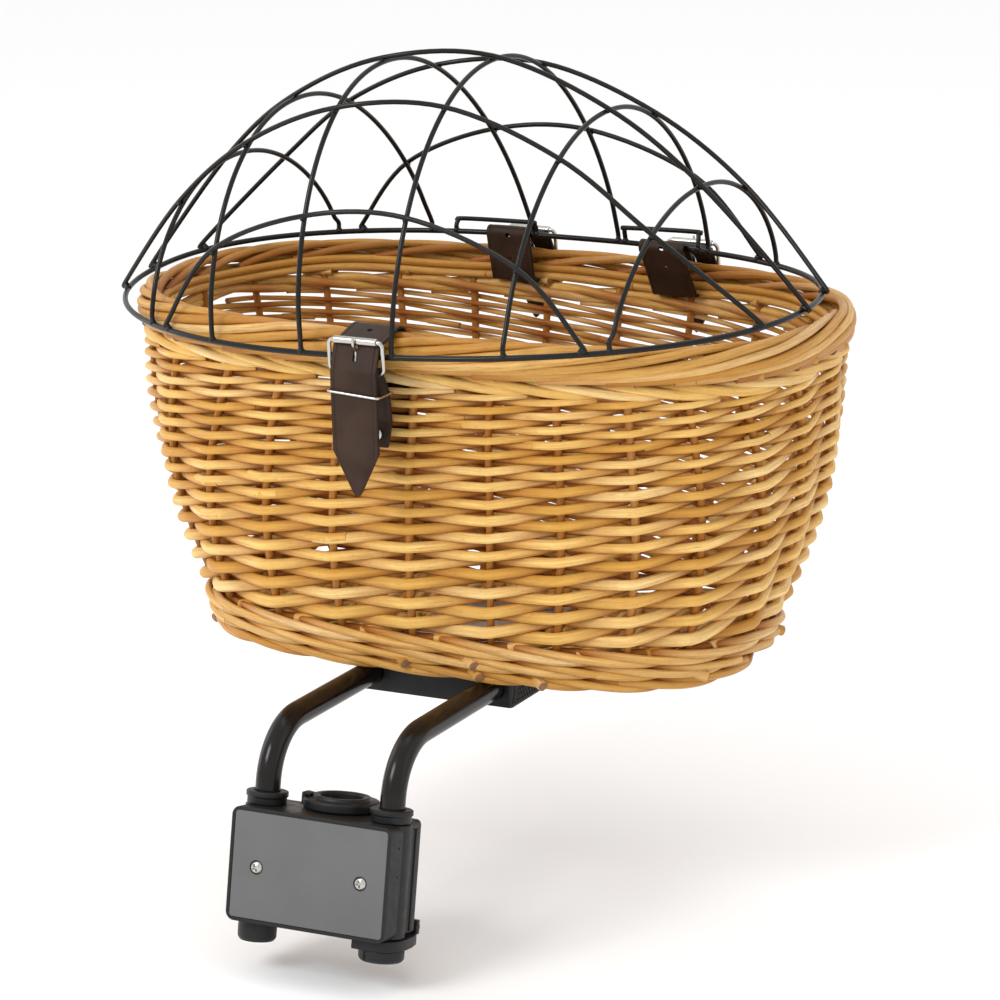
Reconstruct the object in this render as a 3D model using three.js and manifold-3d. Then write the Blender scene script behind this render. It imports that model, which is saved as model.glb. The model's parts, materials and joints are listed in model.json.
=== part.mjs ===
// Willow dog basket for a bicycle: woven tub, wire dome lid, leather straps and a seat-tube clamp.
// Millimetres. +Z up, +X along the basket's long side, +Y from the clamp back to the lid's hinge side.
// The origin is the centre of the clamp's bore, where the bicycle's seat tube passes.
import * as THREE from 'three';
import { mergeVertices } from 'three/addons/utils/BufferGeometryUtils.js';
import Module from 'manifold-3d';

const wasm = await Module();
wasm.setup();

// Clearances
const gap = 0.3;          // between pieces that touch
const overrun = 2;        // how far a cutting tool runs past the face it cuts

// Basket
const basketReach = 268;  // basket's centre behind the clamp's centre
const basketDepth = 276;  // rim down to the underside
const rimHalfLength = 270;
const rimHalfWidth = 176;
const rimRoundness = 2.7;
const borderRadius = 10;
const borderDrop = 11;      // border's middle below the rim
const borderSides = 10;
const wallPastEnd = 4.5;     // wall's top past the rim's own outline
const wallPastSide = 2.4;
const wallHalfLength = rimHalfLength + wallPastEnd;
const wallHalfWidth = rimHalfWidth + wallPastSide;
const wallThickness = 14;
const wallTopThickness = 12; // where it meets the border
const weaveSwing = 7;       // how far the weave swings in behind each second stake
const weaveTop = -43.5;     // level under the top rows
const weaveRows = 30;
const rowGrowthShare = 0.27; // how much thicker the lowest rows are than the mean, and the highest thinner
const footHeight = 28;      // thick rows at the foot
const footBulge = 2.5;
const footGroove = 2.5;
const baseThickness = 8;
const baseLift = 2;           // base's underside above the wall's foot
const outlineSteps = 60;
const insideSteps = 7;
const footRows = 3;
const stakes = 25;
// share of the way round, from the right end past the back, at which each stake of the front stands
const frontStakeShares = [0.6286, 0.6688, 0.7102, 0.7546, 0.7993, 0.8373, 0.8765, 0.912, 0.9519];
// wall's half length and half width, from the rim down to the foot
const depthShares = [0, 0.3, 0.55, 0.8, 1];
const lengthShares = [1, 1, 0.962, 0.879, 0.796];
const widthShares = [1, 0.9815, 0.9296, 0.8358, 0.7471];
const roundnessShares = [1, 1.01, 1.02, 1.03, 1.04];

// Lid
const lidOverhang = 14;    // ring's ends past the rim's own outline
const lidHalfLength = rimHalfLength + lidOverhang;
const lidHalfWidth = rimHalfWidth;
const lidRoundness = 2.22;
const lidShiftLeft = 9.9;
const lidShiftForward = 27.4;
const lidPitch = 5;        // degrees, front lower
const lidTilt = -2.1;      // degrees, left end lower
const lidYaw = -4.1;       // degrees
const ringEndLift = 2.3;  // the ring is sprung over the border by this much
const ringCornerLift = 2.6;
const ringWire = 2.2;      // radius
const domeWire = 1.9;      // radius
const wireSides = 6;
const ringSteps = 80;
const ribSteps = 28;
const archSteps = 36;
const footStub = 5;
const domeHeight = 183;    // highest rib above the ring
const ribSkew = 3;         // rear foot further along X than the front foot
const ribWidthPower = 2.08;
const ribHeightPower = 1.49;
const ribPoints = 25;
// ribs' places along the ring, heights, and how far back each crown lies
const ribPlaceShares = [-0.694, -0.44, -0.137, 0.137, 0.44, 0.694];
const ribHeightShares = [0.541, 0.82, 1, 0.989, 0.776, 0.475];
const ribLeanShares = [-0.034, -0.108, -0.159, 0, 0.074, 0.085];
// arches' places across the ring, and their feet along it
const archOffsetShares = [-0.795, -0.426, 0, 0.426, 0.795];
const archEndShares = [0.623, 0.963, 1, 0.963, 0.623];
const bailPlaceShares = [-0.271, 0.271];
const bailWidthShare = 0.2254;
const bailRise = 10;
const bailCorner = 5;
const bailSteps = 18;

// Leather straps: their thickness is followed in side view, outward from the basket and up
const strapWidth = 36;
const strapThickness = 2.5;
const rearStrapAside = [10.4, 1.9];  // each strap's middle from its hinge bail's middle
const strapSlack = 1.9;       // round a hinge bail, which lies a little askew
const frontStrapX = -11;
const slotDrop = 31;          // rear straps pass through the wall this far below the rim
const slotCorner = 3;
const tailTipDrop = 121;      // front strap's tip below the rim
const tailTipReach = 32;
const tailPoint = 16;         // length of the pointed end
const tailNose = 5;           // half width left at the point
const rearTailDrop = 66;
const rearTailReach = 24;
const chapeTurnBack = 17;
const chapeTurnIn = 5;
const rivetDrop = 80;
const rivetRadius = 2;
const rivetHead = 5;
const rivetHeadHeight = 1.2;
const strapEndPastRivet = 10;
const prongSlotWidth = 5;

// Buckles: hinge bar below, roller bar above; reaches are outward from the rim's own outline
const buckleWidth = 46;
const buckleWire = 1.6;       // radius
const buckleCorner = 4;
const rollerRadius = 2.9;
const prongRadius = 1.2;
const prongEyeWidth = 4;
const prongEyeRadius = 3.1;
const prongOvershoot = 3;
const frontHingeReach = 32;
const frontHingeDrop = 27.5;
const frontRollerReach = 34.5;
const frontRollerDrop = 4;
const rearHingeReach = 17;
const rearHingeDrop = 15;
const rearRollerReach = 11.5;
const rearRollerRise = 10;
const keeperDrop = 43;
const keeperWire = 1;         // radius
const keeperHalfWidth = 20.5;
const keeperSlack = 0.8;
const strapFootSlack = 0.5;

// Carrier
const tubeRadius = 9.35;
const tubeWall = 1.5;
const tubeSides = 10;
const tubeSteps = 32;
const tubeHalfSpacing = 51.2;
const tubeBend = 47.2;
const tubeLevel = 100.35;    // upper run above the clamp's centre
const tubeEndBack = 62;     // upper run's end behind the basket's centre
const blockHalfWidth = 66;
const blockAside = 1;
const blockFront = 109;     // before the basket's centre
const blockBack = 74;
const blockUnder = 5.3;     // block's wall under each tube
const blockCorner = 3;
const tubeBelowFoot = tubeRadius + gap;
const rimHeight = tubeLevel + tubeBelowFoot + basketDepth;
const carrierBoltX = 30;
const carrierBoltFront = 80;
const carrierBoltBack = 40;
const plateHalfX = 46;
const counterThickness = 2;
const boltRadius = 3;
const boltHeadRadius = 6;
const boltHeadHeight = 3.5;
const nutAcross = 10;
const nutRadius = nutAcross / Math.sqrt(3);
const nutHeight = 5;
const washerOverhang = 16;

// Clamp
const seatTubeLean = 10;     // degrees, top towards the basket
const coverWidth = 124.5;
const coverHeight = 79;
const coverThickness = 2.4;
const coverCorner = 4;
const housingBorder = 2.8;
const faceToBore = 47;       // cover's face to the bore's axis
const boreRadius = 18.2;
const tubeToBore = 20.3;     // sockets in front of the bore's axis
const collarWall = 2;
const collarFlange = 15.2;
const collarHeight = 7.4;
const socketFloor = 9;
const jawThickness = 7;
const jawBulge = 27;
const bushInner = 15.9;
const bushFlange = 28;
const bushLip = 20;
const bushHeight = 9;
const clampBoltX = 27.5;
const clampBoltZ = 24;
const clampBoltRadius = 4;
const clampHeadRadius = 7;
const clampHeadHeight = 5;
const coverScrewX = 42.4;
const coverScrewDrop = 1;
const coverScrewRadius = 2;
const coverScrewHead = 4.6;
const coverScrewLength = 12;
const footRadius = 14.5;
const footDrop = 17;
const footForward = 1;
const leverHub = 16.5;
const leverThickness = 8;
const leverKnobDrop = 9;
const leverReach = 33;
const leverTabWidth = 12;
const leverTabRise = 10;
const leverTabThickness = 5;
const leverPin = 3;
const leverPinHead = 5.5;
const leverPinHeadHeight = 3;
const leverPinDepth = 7.5;

const willow = new THREE.MeshStandardMaterial({ color: 0xd29a45, roughness: 0.6, metalness: 0 });
const wire = new THREE.MeshStandardMaterial({ color: 0x1c1b1a, roughness: 0.35, metalness: 0.3 });
const leather = new THREE.MeshStandardMaterial({ color: 0x38231a, roughness: 0.55, metalness: 0 });
const nickel = new THREE.MeshStandardMaterial({ color: 0xc9c7c1, roughness: 0.22, metalness: 1 });
const steel = new THREE.MeshStandardMaterial({ color: 0x9a9a98, roughness: 0.4, metalness: 1 });
const tubePaint = new THREE.MeshStandardMaterial({ color: 0x17130f, roughness: 0.3, metalness: 0.2 });
const blackPlastic = new THREE.MeshStandardMaterial({ color: 0x1b1b1c, roughness: 0.6, metalness: 0 });
const greyPlastic = new THREE.MeshStandardMaterial({ color: 0x7d7d7e, roughness: 0.55, metalness: 0 });

const radians = THREE.MathUtils.degToRad;
const model = new THREE.Group();

function addMesh(parent, name, geometry, material) {
  const mesh = new THREE.Mesh(geometry, material);
  mesh.name = name;
  parent.add(mesh);
  return mesh;
}

// A closed solid for joining and cutting
function solidOf(geometry) {
  const bare = geometry.clone();
  bare.deleteAttribute('normal');
  bare.deleteAttribute('uv');
  const merged = mergeVertices(bare, 1e-4);
  const mesh = new wasm.Mesh({
    numProp: 3,
    vertProperties: new Float32Array(merged.attributes.position.array),
    triVerts: new Uint32Array(merged.index.array),
  });
  return new wasm.Manifold(mesh);
}

function geometryOf(solid) {
  const mesh = solid.getMesh();
  const geometry = new THREE.BufferGeometry();
  geometry.setAttribute('position', new THREE.BufferAttribute(new Float32Array(mesh.vertProperties), 3));
  geometry.setIndex(new THREE.BufferAttribute(new Uint32Array(mesh.triVerts), 1));
  geometry.computeVertexNormals();
  return geometry;
}

function cut(geometry, ...tools) {
  let solid = solidOf(geometry);
  for (const tool of tools) solid = solid.subtract(solidOf(tool));
  return geometryOf(solid);
}

function join(geometry, ...others) {
  let solid = solidOf(geometry);
  for (const other of others) solid = solid.add(solidOf(other));
  return geometryOf(solid);
}

// A cylinder along Z between two heights
function post(radius, low, high, sides = 24, x = 0, y = 0) {
  const geometry = new THREE.CylinderGeometry(radius, radius, high - low, sides);
  geometry.rotateX(Math.PI / 2);
  geometry.translate(x, y, (low + high) / 2);
  return geometry;
}

// A cylinder along Y between two places
function rod(radius, from, to, sides = 24, x = 0, z = 0) {
  const geometry = new THREE.CylinderGeometry(radius, radius, to - from, sides);
  geometry.translate(x, (from + to) / 2, z);
  return geometry;
}

// A cylinder along X between two places
function bar(radius, from, to, sides = 12, y = 0, z = 0) {
  const geometry = new THREE.CylinderGeometry(radius, radius, to - from, sides);
  geometry.rotateZ(Math.PI / 2);
  geometry.translate((from + to) / 2, y, z);
  return geometry;
}

function box(x0, x1, y0, y1, z0, z1) {
  const geometry = new THREE.BoxGeometry(x1 - x0, y1 - y0, z1 - z0);
  geometry.translate((x0 + x1) / 2, (y0 + y1) / 2, (z0 + z1) / 2);
  return geometry;
}

function roundedRectangle(width, height, corner) {
  const x = width / 2 - corner;
  const y = height / 2 - corner;
  const shape = new THREE.Shape();
  shape.absarc(x, y, corner, 0, Math.PI / 2, false);
  shape.absarc(-x, y, corner, Math.PI / 2, Math.PI, false);
  shape.absarc(-x, -y, corner, Math.PI, Math.PI * 1.5, false);
  shape.absarc(x, -y, corner, Math.PI * 1.5, Math.PI * 2, false);
  return shape;
}

// A shape in the X-Z plane, thick along Y from y0 to y1
function slabAlongY(shape, y0, y1, curveSegments = 4) {
  const geometry = new THREE.ExtrudeGeometry(shape, { depth: y1 - y0, bevelEnabled: false, curveSegments });
  geometry.rotateX(Math.PI / 2);
  geometry.translate(0, y1, 0);
  return geometry;
}

// A shape in the X-Y plane, thick along Z from z0 to z1
function slabAlongZ(shape, z0, z1, curveSegments = 6) {
  const geometry = new THREE.ExtrudeGeometry(shape, { depth: z1 - z0, bevelEnabled: false, curveSegments });
  geometry.translate(0, 0, z0);
  return geometry;
}

function polygon(radius, sides) {
  const points = [];
  for (let i = 0; i < sides; i += 1) {
    const angle = (2 * Math.PI * (i + 0.5)) / sides;
    points.push(new THREE.Vector2(radius * Math.cos(angle), radius * Math.sin(angle)));
  }
  return new THREE.Shape(points);
}

// A wire of one radius along a smooth curve through the points
function wireAlong(points, radius, sides, steps, tension = 0.5) {
  const curve = new THREE.CatmullRomCurve3(points, false, 'catmullrom', tension);
  const section = polygon(radius, sides);
  return new THREE.ExtrudeGeometry(section, { steps, bevelEnabled: false, extrudePath: curve });
}

// A ring solid lofted through closed sections that follow one another round a loop
function ringSolid(sections) {
  const count = sections.length;
  const sides = sections[0].length;
  const position = new Float32Array(count * sides * 3);
  sections.forEach((section, i) => {
    section.forEach((point, j) => point.toArray(position, (i * sides + j) * 3));
  });
  const index = [];
  for (let i = 0; i < count; i += 1) {
    for (let j = 0; j < sides; j += 1) {
      const a = i * sides + j;
      const b = ((i + 1) % count) * sides + j;
      const c = ((i + 1) % count) * sides + ((j + 1) % sides);
      const d = i * sides + ((j + 1) % sides);
      index.push(a, b, c, a, c, d);
    }
  }
  return facingOut(position, index);
}

// A ring solid between columns, each an outside and an inside chain of points from the top down.
// Neighbours may differ in their levels.
function columnSolid(columns) {
  const points = [];
  const keep = (point) => points.push(point) - 1;
  const kept = columns.map(([outside, inside]) => ({ outside: outside.map(keep), inside: inside.map(keep) }));
  const index = [];
  kept.forEach((here, i) => {
    const next = kept[(i + 1) % kept.length];
    index.push(...zipped(points, here.outside, next.outside));
    index.push(...zipped(points, next.inside, here.inside));
    for (const [a, b] of [[here, next], [next, here]]) {
      const level = a === here ? 0 : -1;
      index.push(a.inside.at(level), a.outside.at(level), b.outside.at(level));
      index.push(a.inside.at(level), b.outside.at(level), b.inside.at(level));
    }
  });
  return facingOut(new Float32Array(points.flatMap((point) => point.toArray())), index);
}

// Triangles between two chains of points that run down side by side
function zipped(points, a, b) {
  const faces = [];
  let [i, j] = [0, 0];
  while (i < a.length - 1 || j < b.length - 1) {
    const downA = j === b.length - 1 || (i < a.length - 1 && points[a[i + 1]].z >= points[b[j + 1]].z);
    if (downA) {
      faces.push(a[i], a[i + 1], b[j]);
      i += 1;
    } else {
      faces.push(a[i], b[j + 1], b[j]);
      j += 1;
    }
  }
  return faces;
}

// An indexed solid, turned inside out where its faces look inwards
function facingOut(position, index) {
  const geometry = new THREE.BufferGeometry();
  geometry.setAttribute('position', new THREE.BufferAttribute(position, 3));
  geometry.setIndex(index);
  if (volume(geometry) < 0) {
    for (let i = 0; i < index.length; i += 3) [index[i], index[i + 1]] = [index[i + 1], index[i]];
    geometry.setIndex(index);
  }
  geometry.computeVertexNormals();
  return geometry;
}

function volume(geometry) {
  const p = geometry.attributes.position;
  const corner = (k) => new THREE.Vector3().fromBufferAttribute(p, geometry.index.getX(k));
  let sum = 0;
  for (let i = 0; i < geometry.index.count; i += 3) {
    sum += corner(i).dot(corner(i + 1).cross(corner(i + 2)));
  }
  return sum / 6;
}

// Oval outlines: a point of a superellipse and its outward direction
function oval(halfLength, halfWidth, power, turn) {
  const c = Math.cos(turn);
  const s = Math.sin(turn);
  const x = halfLength * Math.sign(c) * Math.abs(c) ** (2 / power);
  const y = halfWidth * Math.sign(s) * Math.abs(s) ** (2 / power);
  const nx = (Math.sign(c) * Math.abs(x / halfLength) ** (power - 1)) / halfLength;
  const ny = (Math.sign(s) * Math.abs(y / halfWidth) ** (power - 1)) / halfWidth;
  const n = Math.hypot(nx, ny);
  return { x, y, nx: nx / n, ny: ny / n };
}

function ovalWidthAt(halfLength, halfWidth, power, x) {
  return halfWidth * Math.max(0, 1 - Math.abs(x / halfLength) ** power) ** (1 / power);
}

// A value between the listed levels, eased so that the wall has no creases
function atDepth(list, share) {
  let k = 0;
  while (k < depthShares.length - 2 && share > depthShares[k + 1]) k += 1;
  const slope = (i) => {
    const low = Math.max(i - 1, 0);
    const high = Math.min(i + 1, list.length - 1);
    return (list[high] - list[low]) / (depthShares[high] - depthShares[low]);
  };
  const span = depthShares[k + 1] - depthShares[k];
  const t = (share - depthShares[k]) / span;
  const h00 = 2 * t ** 3 - 3 * t ** 2 + 1;
  const h10 = t ** 3 - 2 * t ** 2 + t;
  const h11 = t ** 3 - t ** 2;
  return h00 * list[k] + h10 * span * slope(k) + (1 - h00) * list[k + 1] + h11 * span * slope(k + 1);
}

// The wall's outline at a height below the rim
function wallOutline(z) {
  const share = -z / basketDepth;
  const halfLength = wallHalfLength * atDepth(lengthShares, share);
  const halfWidth = wallHalfWidth * atDepth(widthShares, share);
  return { halfLength, halfWidth, power: rimRoundness * atDepth(roundnessShares, share) };
}

function wallPoint(z, turn, out) {
  const { halfLength, halfWidth, power } = wallOutline(z);
  const p = oval(halfLength, halfWidth, power, turn);
  return new THREE.Vector3(p.x + p.nx * out, p.y + p.ny * out, z);
}

// The turn at a share of the way round the wall, taken halfway up the weave
function turnAtShare(share) {
  const { halfLength, halfWidth, power } = wallOutline((weaveTop + footTop) / 2);
  const steps = outlineSteps * outlineSteps;
  const place = (i) => oval(halfLength, halfWidth, power, (2 * Math.PI * i) / steps);
  const way = [0];
  for (let i = 1; i <= steps; i += 1) {
    const [a, b] = [place(i - 1), place(i)];
    way.push(way[i - 1] + Math.hypot(b.x - a.x, b.y - a.y));
  }
  const target = (share % 1) * way[steps];
  const next = way.findIndex((length) => length > target);
  const part = (target - way[next - 1]) / (way[next] - way[next - 1]);
  return (2 * Math.PI * (next - 1 + part)) / steps;
}

// The front's stakes stand where they are listed and the rest are spaced evenly
function stakeShares() {
  const shares = [...frontStakeShares];
  const step = (1 + shares[0] - shares[shares.length - 1]) / (stakes - shares.length + 1);
  while (shares.length < stakes) shares.push(shares[shares.length - 1] + step);
  return shares;
}

// Height of the weave after so many rows up from the foot
function rowLevel(row) {
  const share = row / weaveRows;
  return footTop + (weaveTop - footTop) * ((1 + rowGrowthShare) * share - rowGrowthShare * share ** 2);
}

// One face of the wall down a column: levels from the rim down, each with how far out it lies.
// At a stake the rows pass in front and behind by turns, and between stakes they lie midway.
function weaveLevels(atStake, midSteps, shift) {
  const midway = shift - weaveSwing / 2;
  const levels = [[weaveTop, midway]];
  if (atStake) {
    for (let row = weaveRows - 1; row >= 0; row -= 1) {
      levels.push([rowLevel(row + 1 / 2), row % 2 === 1 ? shift : shift - weaveSwing]);
    }
  } else {
    for (let step = midSteps - 1; step > 0; step -= 1) {
      levels.push([rowLevel((weaveRows * step) / midSteps), midway]);
    }
  }
  levels.push([footTop, midway]);
  return levels;
}

// The foot's thick rows with a groove between each two
function footLevels() {
  const levels = [];
  const rowHeight = footHeight / footRows;
  for (let row = 0; row < footRows; row += 1) {
    const middle = footTop - rowHeight * (row + 1 / 2);
    levels.push([middle, footBulge * Math.sin((Math.PI * (row + 1 / 2)) / footRows)]);
    if (row < footRows - 1) levels.push([middle - rowHeight / 2, -footGroove]);
  }
  levels.push([-basketDepth, 0]);
  return levels;
}

// Woven wall from under the border to the underside
function wovenWall(top) {
  const shares = stakeShares();
  const columns = [];
  const addColumn = (share, atStake) => {
    const turn = turnAtShare(share);
    const outside = [[top, 0], ...weaveLevels(atStake, weaveRows / 2, 0), ...footLevels()];
    const woven = weaveLevels(atStake, insideSteps, weaveSwing - wallThickness);
    const inside = [[top, -wallTopThickness], ...woven, [-basketDepth, -wallThickness]];
    columns.push([outside, inside].map((levels) => levels.map(([z, out]) => wallPoint(z, turn, out))));
  };
  for (let k = 0; k < stakes; k += 1) {
    const ahead = k < stakes - 1 ? shares[k + 1] : shares[0] + 1;
    addColumn(shares[k], true);
    addColumn((shares[k] + ahead) / 2, false);
  }
  return columnSolid(columns);
}

// The tub and what is fastened to it lie in the rim's own frame: rim's middle, at its top
const tub = new THREE.Group();
tub.position.set(0, basketReach, rimHeight);
model.add(tub);

const borderBottom = -borderDrop - borderRadius;
const footTop = -basketDepth + footHeight;

// Lid: its own frame lies in the ring, a little shifted and tipped on the rim
const lid = new THREE.Group();
lid.position.set(-lidShiftLeft, -lidShiftForward, 0);
lid.rotation.set(radians(lidPitch), radians(lidTilt), radians(lidYaw), 'ZYX');
tub.add(lid);

// Height of the ring's wire at a place, from the twist that the border gives it
function ringLevel(x, y) {
  const turn = Math.atan2(y / lidHalfWidth, x / lidHalfLength);
  return ringEndLift * Math.cos(2 * turn) - ringCornerLift * Math.sin(2 * turn);
}

// How far a place is, seen from above, from the middle line of the border
function fromBorder(x, y) {
  let nearest = Infinity;
  for (let i = 0; i < outlineSteps; i += 1) {
    const [a, b] = [i, i + 1].map((k) => (
      oval(rimHalfLength, rimHalfWidth, rimRoundness, (2 * Math.PI * (k + 0.5)) / outlineSteps)));
    const along = ((x - a.x) * (b.x - a.x) + (y - a.y) * (b.y - a.y)) / ((b.x - a.x) ** 2 + (b.y - a.y) ** 2);
    const share = Math.min(1, Math.max(0, along));
    nearest = Math.min(nearest, Math.hypot(a.x + (b.x - a.x) * share - x, a.y + (b.y - a.y) * share - y));
  }
  return nearest;
}

// Height at which the ring's wire rests on the border
function restingHeight() {
  lid.updateMatrix();
  const reach = borderRadius + ringWire + gap;
  let height = -Infinity;
  for (let i = 0; i < ringSteps; i += 1) {
    const p = oval(lidHalfLength, lidHalfWidth, lidRoundness, (2 * Math.PI * i) / ringSteps);
    const place = new THREE.Vector3(p.x, p.y, ringLevel(p.x, p.y)).applyMatrix4(lid.matrix);
    const aside = fromBorder(place.x, place.y);
    if (aside < reach) height = Math.max(height, Math.sqrt(reach ** 2 - aside ** 2) - borderDrop - place.z);
  }
  return height;
}
lid.position.z = restingHeight();
lid.updateMatrix();

// Hinge bails' middles along the ring, and the rear straps that hold them down
const bailWidth = bailWidthShare * lidHalfLength;
const bailPlaces = bailPlaceShares.map((share) => share * lidHalfLength);
const bailY = ovalWidthAt(lidHalfLength, lidHalfWidth, lidRoundness, bailPlaces[1]);
const rearStrapPlaces = bailPlaces.map((place, i) => (
  new THREE.Vector3(place, bailY, bailRise).applyMatrix4(lid.matrix).x + rearStrapAside[i]));

function strapSlots() {
  const slots = rearStrapPlaces.map((x) => box(
    x - strapWidth / 2 - gap,
    x + strapWidth / 2 + gap,
    rimHalfWidth / 2,
    rimHalfWidth + wallThickness,
    -slotDrop - strapThickness / 2 - 2 * gap,
    -slotDrop + strapThickness / 2 + 2 * gap,
  ));
  return slots;
}

const rivetHole = rod(rivetRadius + gap, -2 * lidHalfWidth, 0, 12, frontStrapX, -rivetDrop);
addMesh(tub, 'basket_wall', cut(wovenWall(borderBottom - gap), ...strapSlots(), rivetHole), willow);

function rimBorder() {
  const sections = [];
  for (let i = 0; i < outlineSteps; i += 1) {
    const p = oval(rimHalfLength, rimHalfWidth, rimRoundness, (2 * Math.PI * (i + 0.5)) / outlineSteps);
    const section = [];
    for (let j = 0; j < borderSides; j += 1) {
      const angle = (2 * Math.PI * (j + 0.5)) / borderSides;
      const out = borderRadius * Math.cos(angle);
      const up = borderRadius * Math.sin(angle) - borderDrop;
      section.push(new THREE.Vector3(p.x + p.nx * out, p.y + p.ny * out, up));
    }
    sections.push(section);
  }
  return ringSolid(sections);
}
addMesh(tub, 'basket_border', rimBorder(), willow);

// Base: an oval woven floor inside the foot band, drilled for the carrier's bolts
const carrierBolts = [
  ['front_left', -carrierBoltX, -carrierBoltFront],
  ['front_right', carrierBoltX, -carrierBoltFront],
  ['rear_left', -carrierBoltX, carrierBoltBack],
  ['rear_right', carrierBoltX, carrierBoltBack],
];

const baseBottom = -basketDepth + baseLift;

function basketBase() {
  const outline = [];
  for (let i = 0; i < outlineSteps; i += 1) {
    const p = wallPoint(-basketDepth, (2 * Math.PI * (i + 0.5)) / outlineSteps, -wallThickness - 2 * gap);
    outline.push(new THREE.Vector2(p.x, p.y));
  }
  const floor = slabAlongZ(new THREE.Shape(outline), baseBottom, baseBottom + baseThickness);
  const holes = carrierBolts.map(([, x, y]) => (
    post(boltRadius + gap, baseBottom - overrun, baseBottom + baseThickness + overrun, 12, x, y)));
  return cut(floor, ...holes);
}
addMesh(tub, 'basket_base', basketBase(), willow);

// Carrier block under the base, on the two fork tubes
const blockTop = baseBottom - gap;
const blockBottom = -basketDepth - 2 * tubeBelowFoot - blockUnder;

function carrierBlock() {
  const shape = roundedRectangle(2 * blockHalfWidth, blockFront + blockBack, blockCorner);
  const block = slabAlongZ(shape, blockBottom, blockTop);
  block.translate(blockAside, (blockBack - blockFront) / 2, 0);
  const tools = [];
  for (const side of [-1, 1]) {
    tools.push(rod(tubeRadius + gap, -blockFront - overrun, tubeEndBack + gap, 24, side * tubeHalfSpacing,
      -basketDepth - tubeBelowFoot));
  }
  for (const [, x, y] of carrierBolts) {
    tools.push(post(boltRadius + gap, blockBottom - overrun, blockTop + overrun, 12, x, y));
    tools.push(post(nutRadius + 2 * gap, blockBottom - overrun, blockBottom + nutHeight + gap, 6, x, y));
  }
  return cut(block, ...tools);
}
addMesh(tub, 'carrier_block', carrierBlock(), blackPlastic);

const plateBottom = baseBottom + baseThickness + gap;
const plateTop = plateBottom + counterThickness;

function counterPlate() {
  const length = carrierBoltFront + carrierBoltBack + 2 * washerOverhang;
  const plate = slabAlongZ(roundedRectangle(2 * plateHalfX, length, blockCorner), plateBottom, plateTop);
  plate.translate(0, (carrierBoltBack - carrierBoltFront) / 2, 0);
  const holes = carrierBolts.map(([, x, y]) => (
    post(boltRadius + gap, plateBottom - overrun, plateTop + overrun, 12, x, y)));
  return cut(plate, ...holes);
}
addMesh(tub, 'counter_plate', counterPlate(), steel);

for (const [place, x, y] of carrierBolts) {
  const head = post(boltHeadRadius, plateTop + gap, plateTop + gap + boltHeadHeight, 16, x, y);
  const shank = post(boltRadius, blockBottom + gap, plateTop + 2 * gap, 12, x, y);
  addMesh(tub, `carrier_bolt_${place}`, join(head, shank), steel);
  const nut = post(nutRadius, blockBottom + gap, blockBottom + nutHeight, 6, x, y);
  const thread = post(boltRadius + gap, blockBottom - overrun, blockBottom + nutHeight + overrun, 12, x, y);
  addMesh(tub, `carrier_nut_${place}`, cut(nut, thread), steel);
}

// Clamp's frame: x across, y back from the bore's axis, z up along it, leaning with the seat tube
const clamp = new THREE.Group();
clamp.rotation.x = -radians(seatTubeLean);
model.add(clamp);

function clampPoint(x, y, z) {
  return new THREE.Vector3(x, y, z).applyEuler(new THREE.Euler(-radians(seatTubeLean), 0, 0));
}

const housingWidth = coverWidth + 2 * housingBorder;
const housingHeight = coverHeight + 2 * housingBorder;
const housingTop = housingHeight / 2;
const socketBottom = -housingTop + socketFloor;
const housingFront = -faceToBore;
const pocketBack = housingFront + coverThickness + gap;
const collarOuter = tubeRadius + gap + collarWall;

// Fork tubes: up out of the sockets, a bend, then level under the basket
function forkTube(x) {
  const foot = clampPoint(x, -tubeToBore, socketBottom + gap);
  const up = clampPoint(0, 0, 1);
  const corner = foot.clone().addScaledVector(up, (tubeLevel - foot.z) / up.z);
  const bend = radians(90 - seatTubeLean);
  const tangent = tubeBend * Math.tan(bend / 2);
  const bendStart = corner.clone().addScaledVector(up, -tangent);
  const centre = bendStart.clone().add(clampPoint(0, tubeBend, 0));
  const path = new THREE.CurvePath();
  path.add(new THREE.LineCurve3(foot, bendStart));
  const arcPoints = [];
  for (let i = 0; i <= 16; i += 1) {
    const angle = (bend * i) / 16;
    arcPoints.push(centre.clone()
      .add(clampPoint(0, -tubeBend * Math.cos(angle), tubeBend * Math.sin(angle))));
  }
  for (let i = 1; i < arcPoints.length; i += 1) {
    path.add(new THREE.LineCurve3(arcPoints[i - 1], arcPoints[i]));
  }
  const end = new THREE.Vector3(x, basketReach + tubeEndBack, tubeLevel);
  path.add(new THREE.LineCurve3(arcPoints[arcPoints.length - 1], end));
  const section = polygon(tubeRadius, tubeSides);
  section.holes.push(new THREE.Path(polygon(tubeRadius - tubeWall, tubeSides).getPoints()));
  return new THREE.ExtrudeGeometry(section, { steps: tubeSteps, bevelEnabled: false, extrudePath: path });
}
addMesh(model, 'fork_tube_left', forkTube(-tubeHalfSpacing), tubePaint);
addMesh(model, 'fork_tube_right', forkTube(tubeHalfSpacing), tubePaint);

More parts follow.
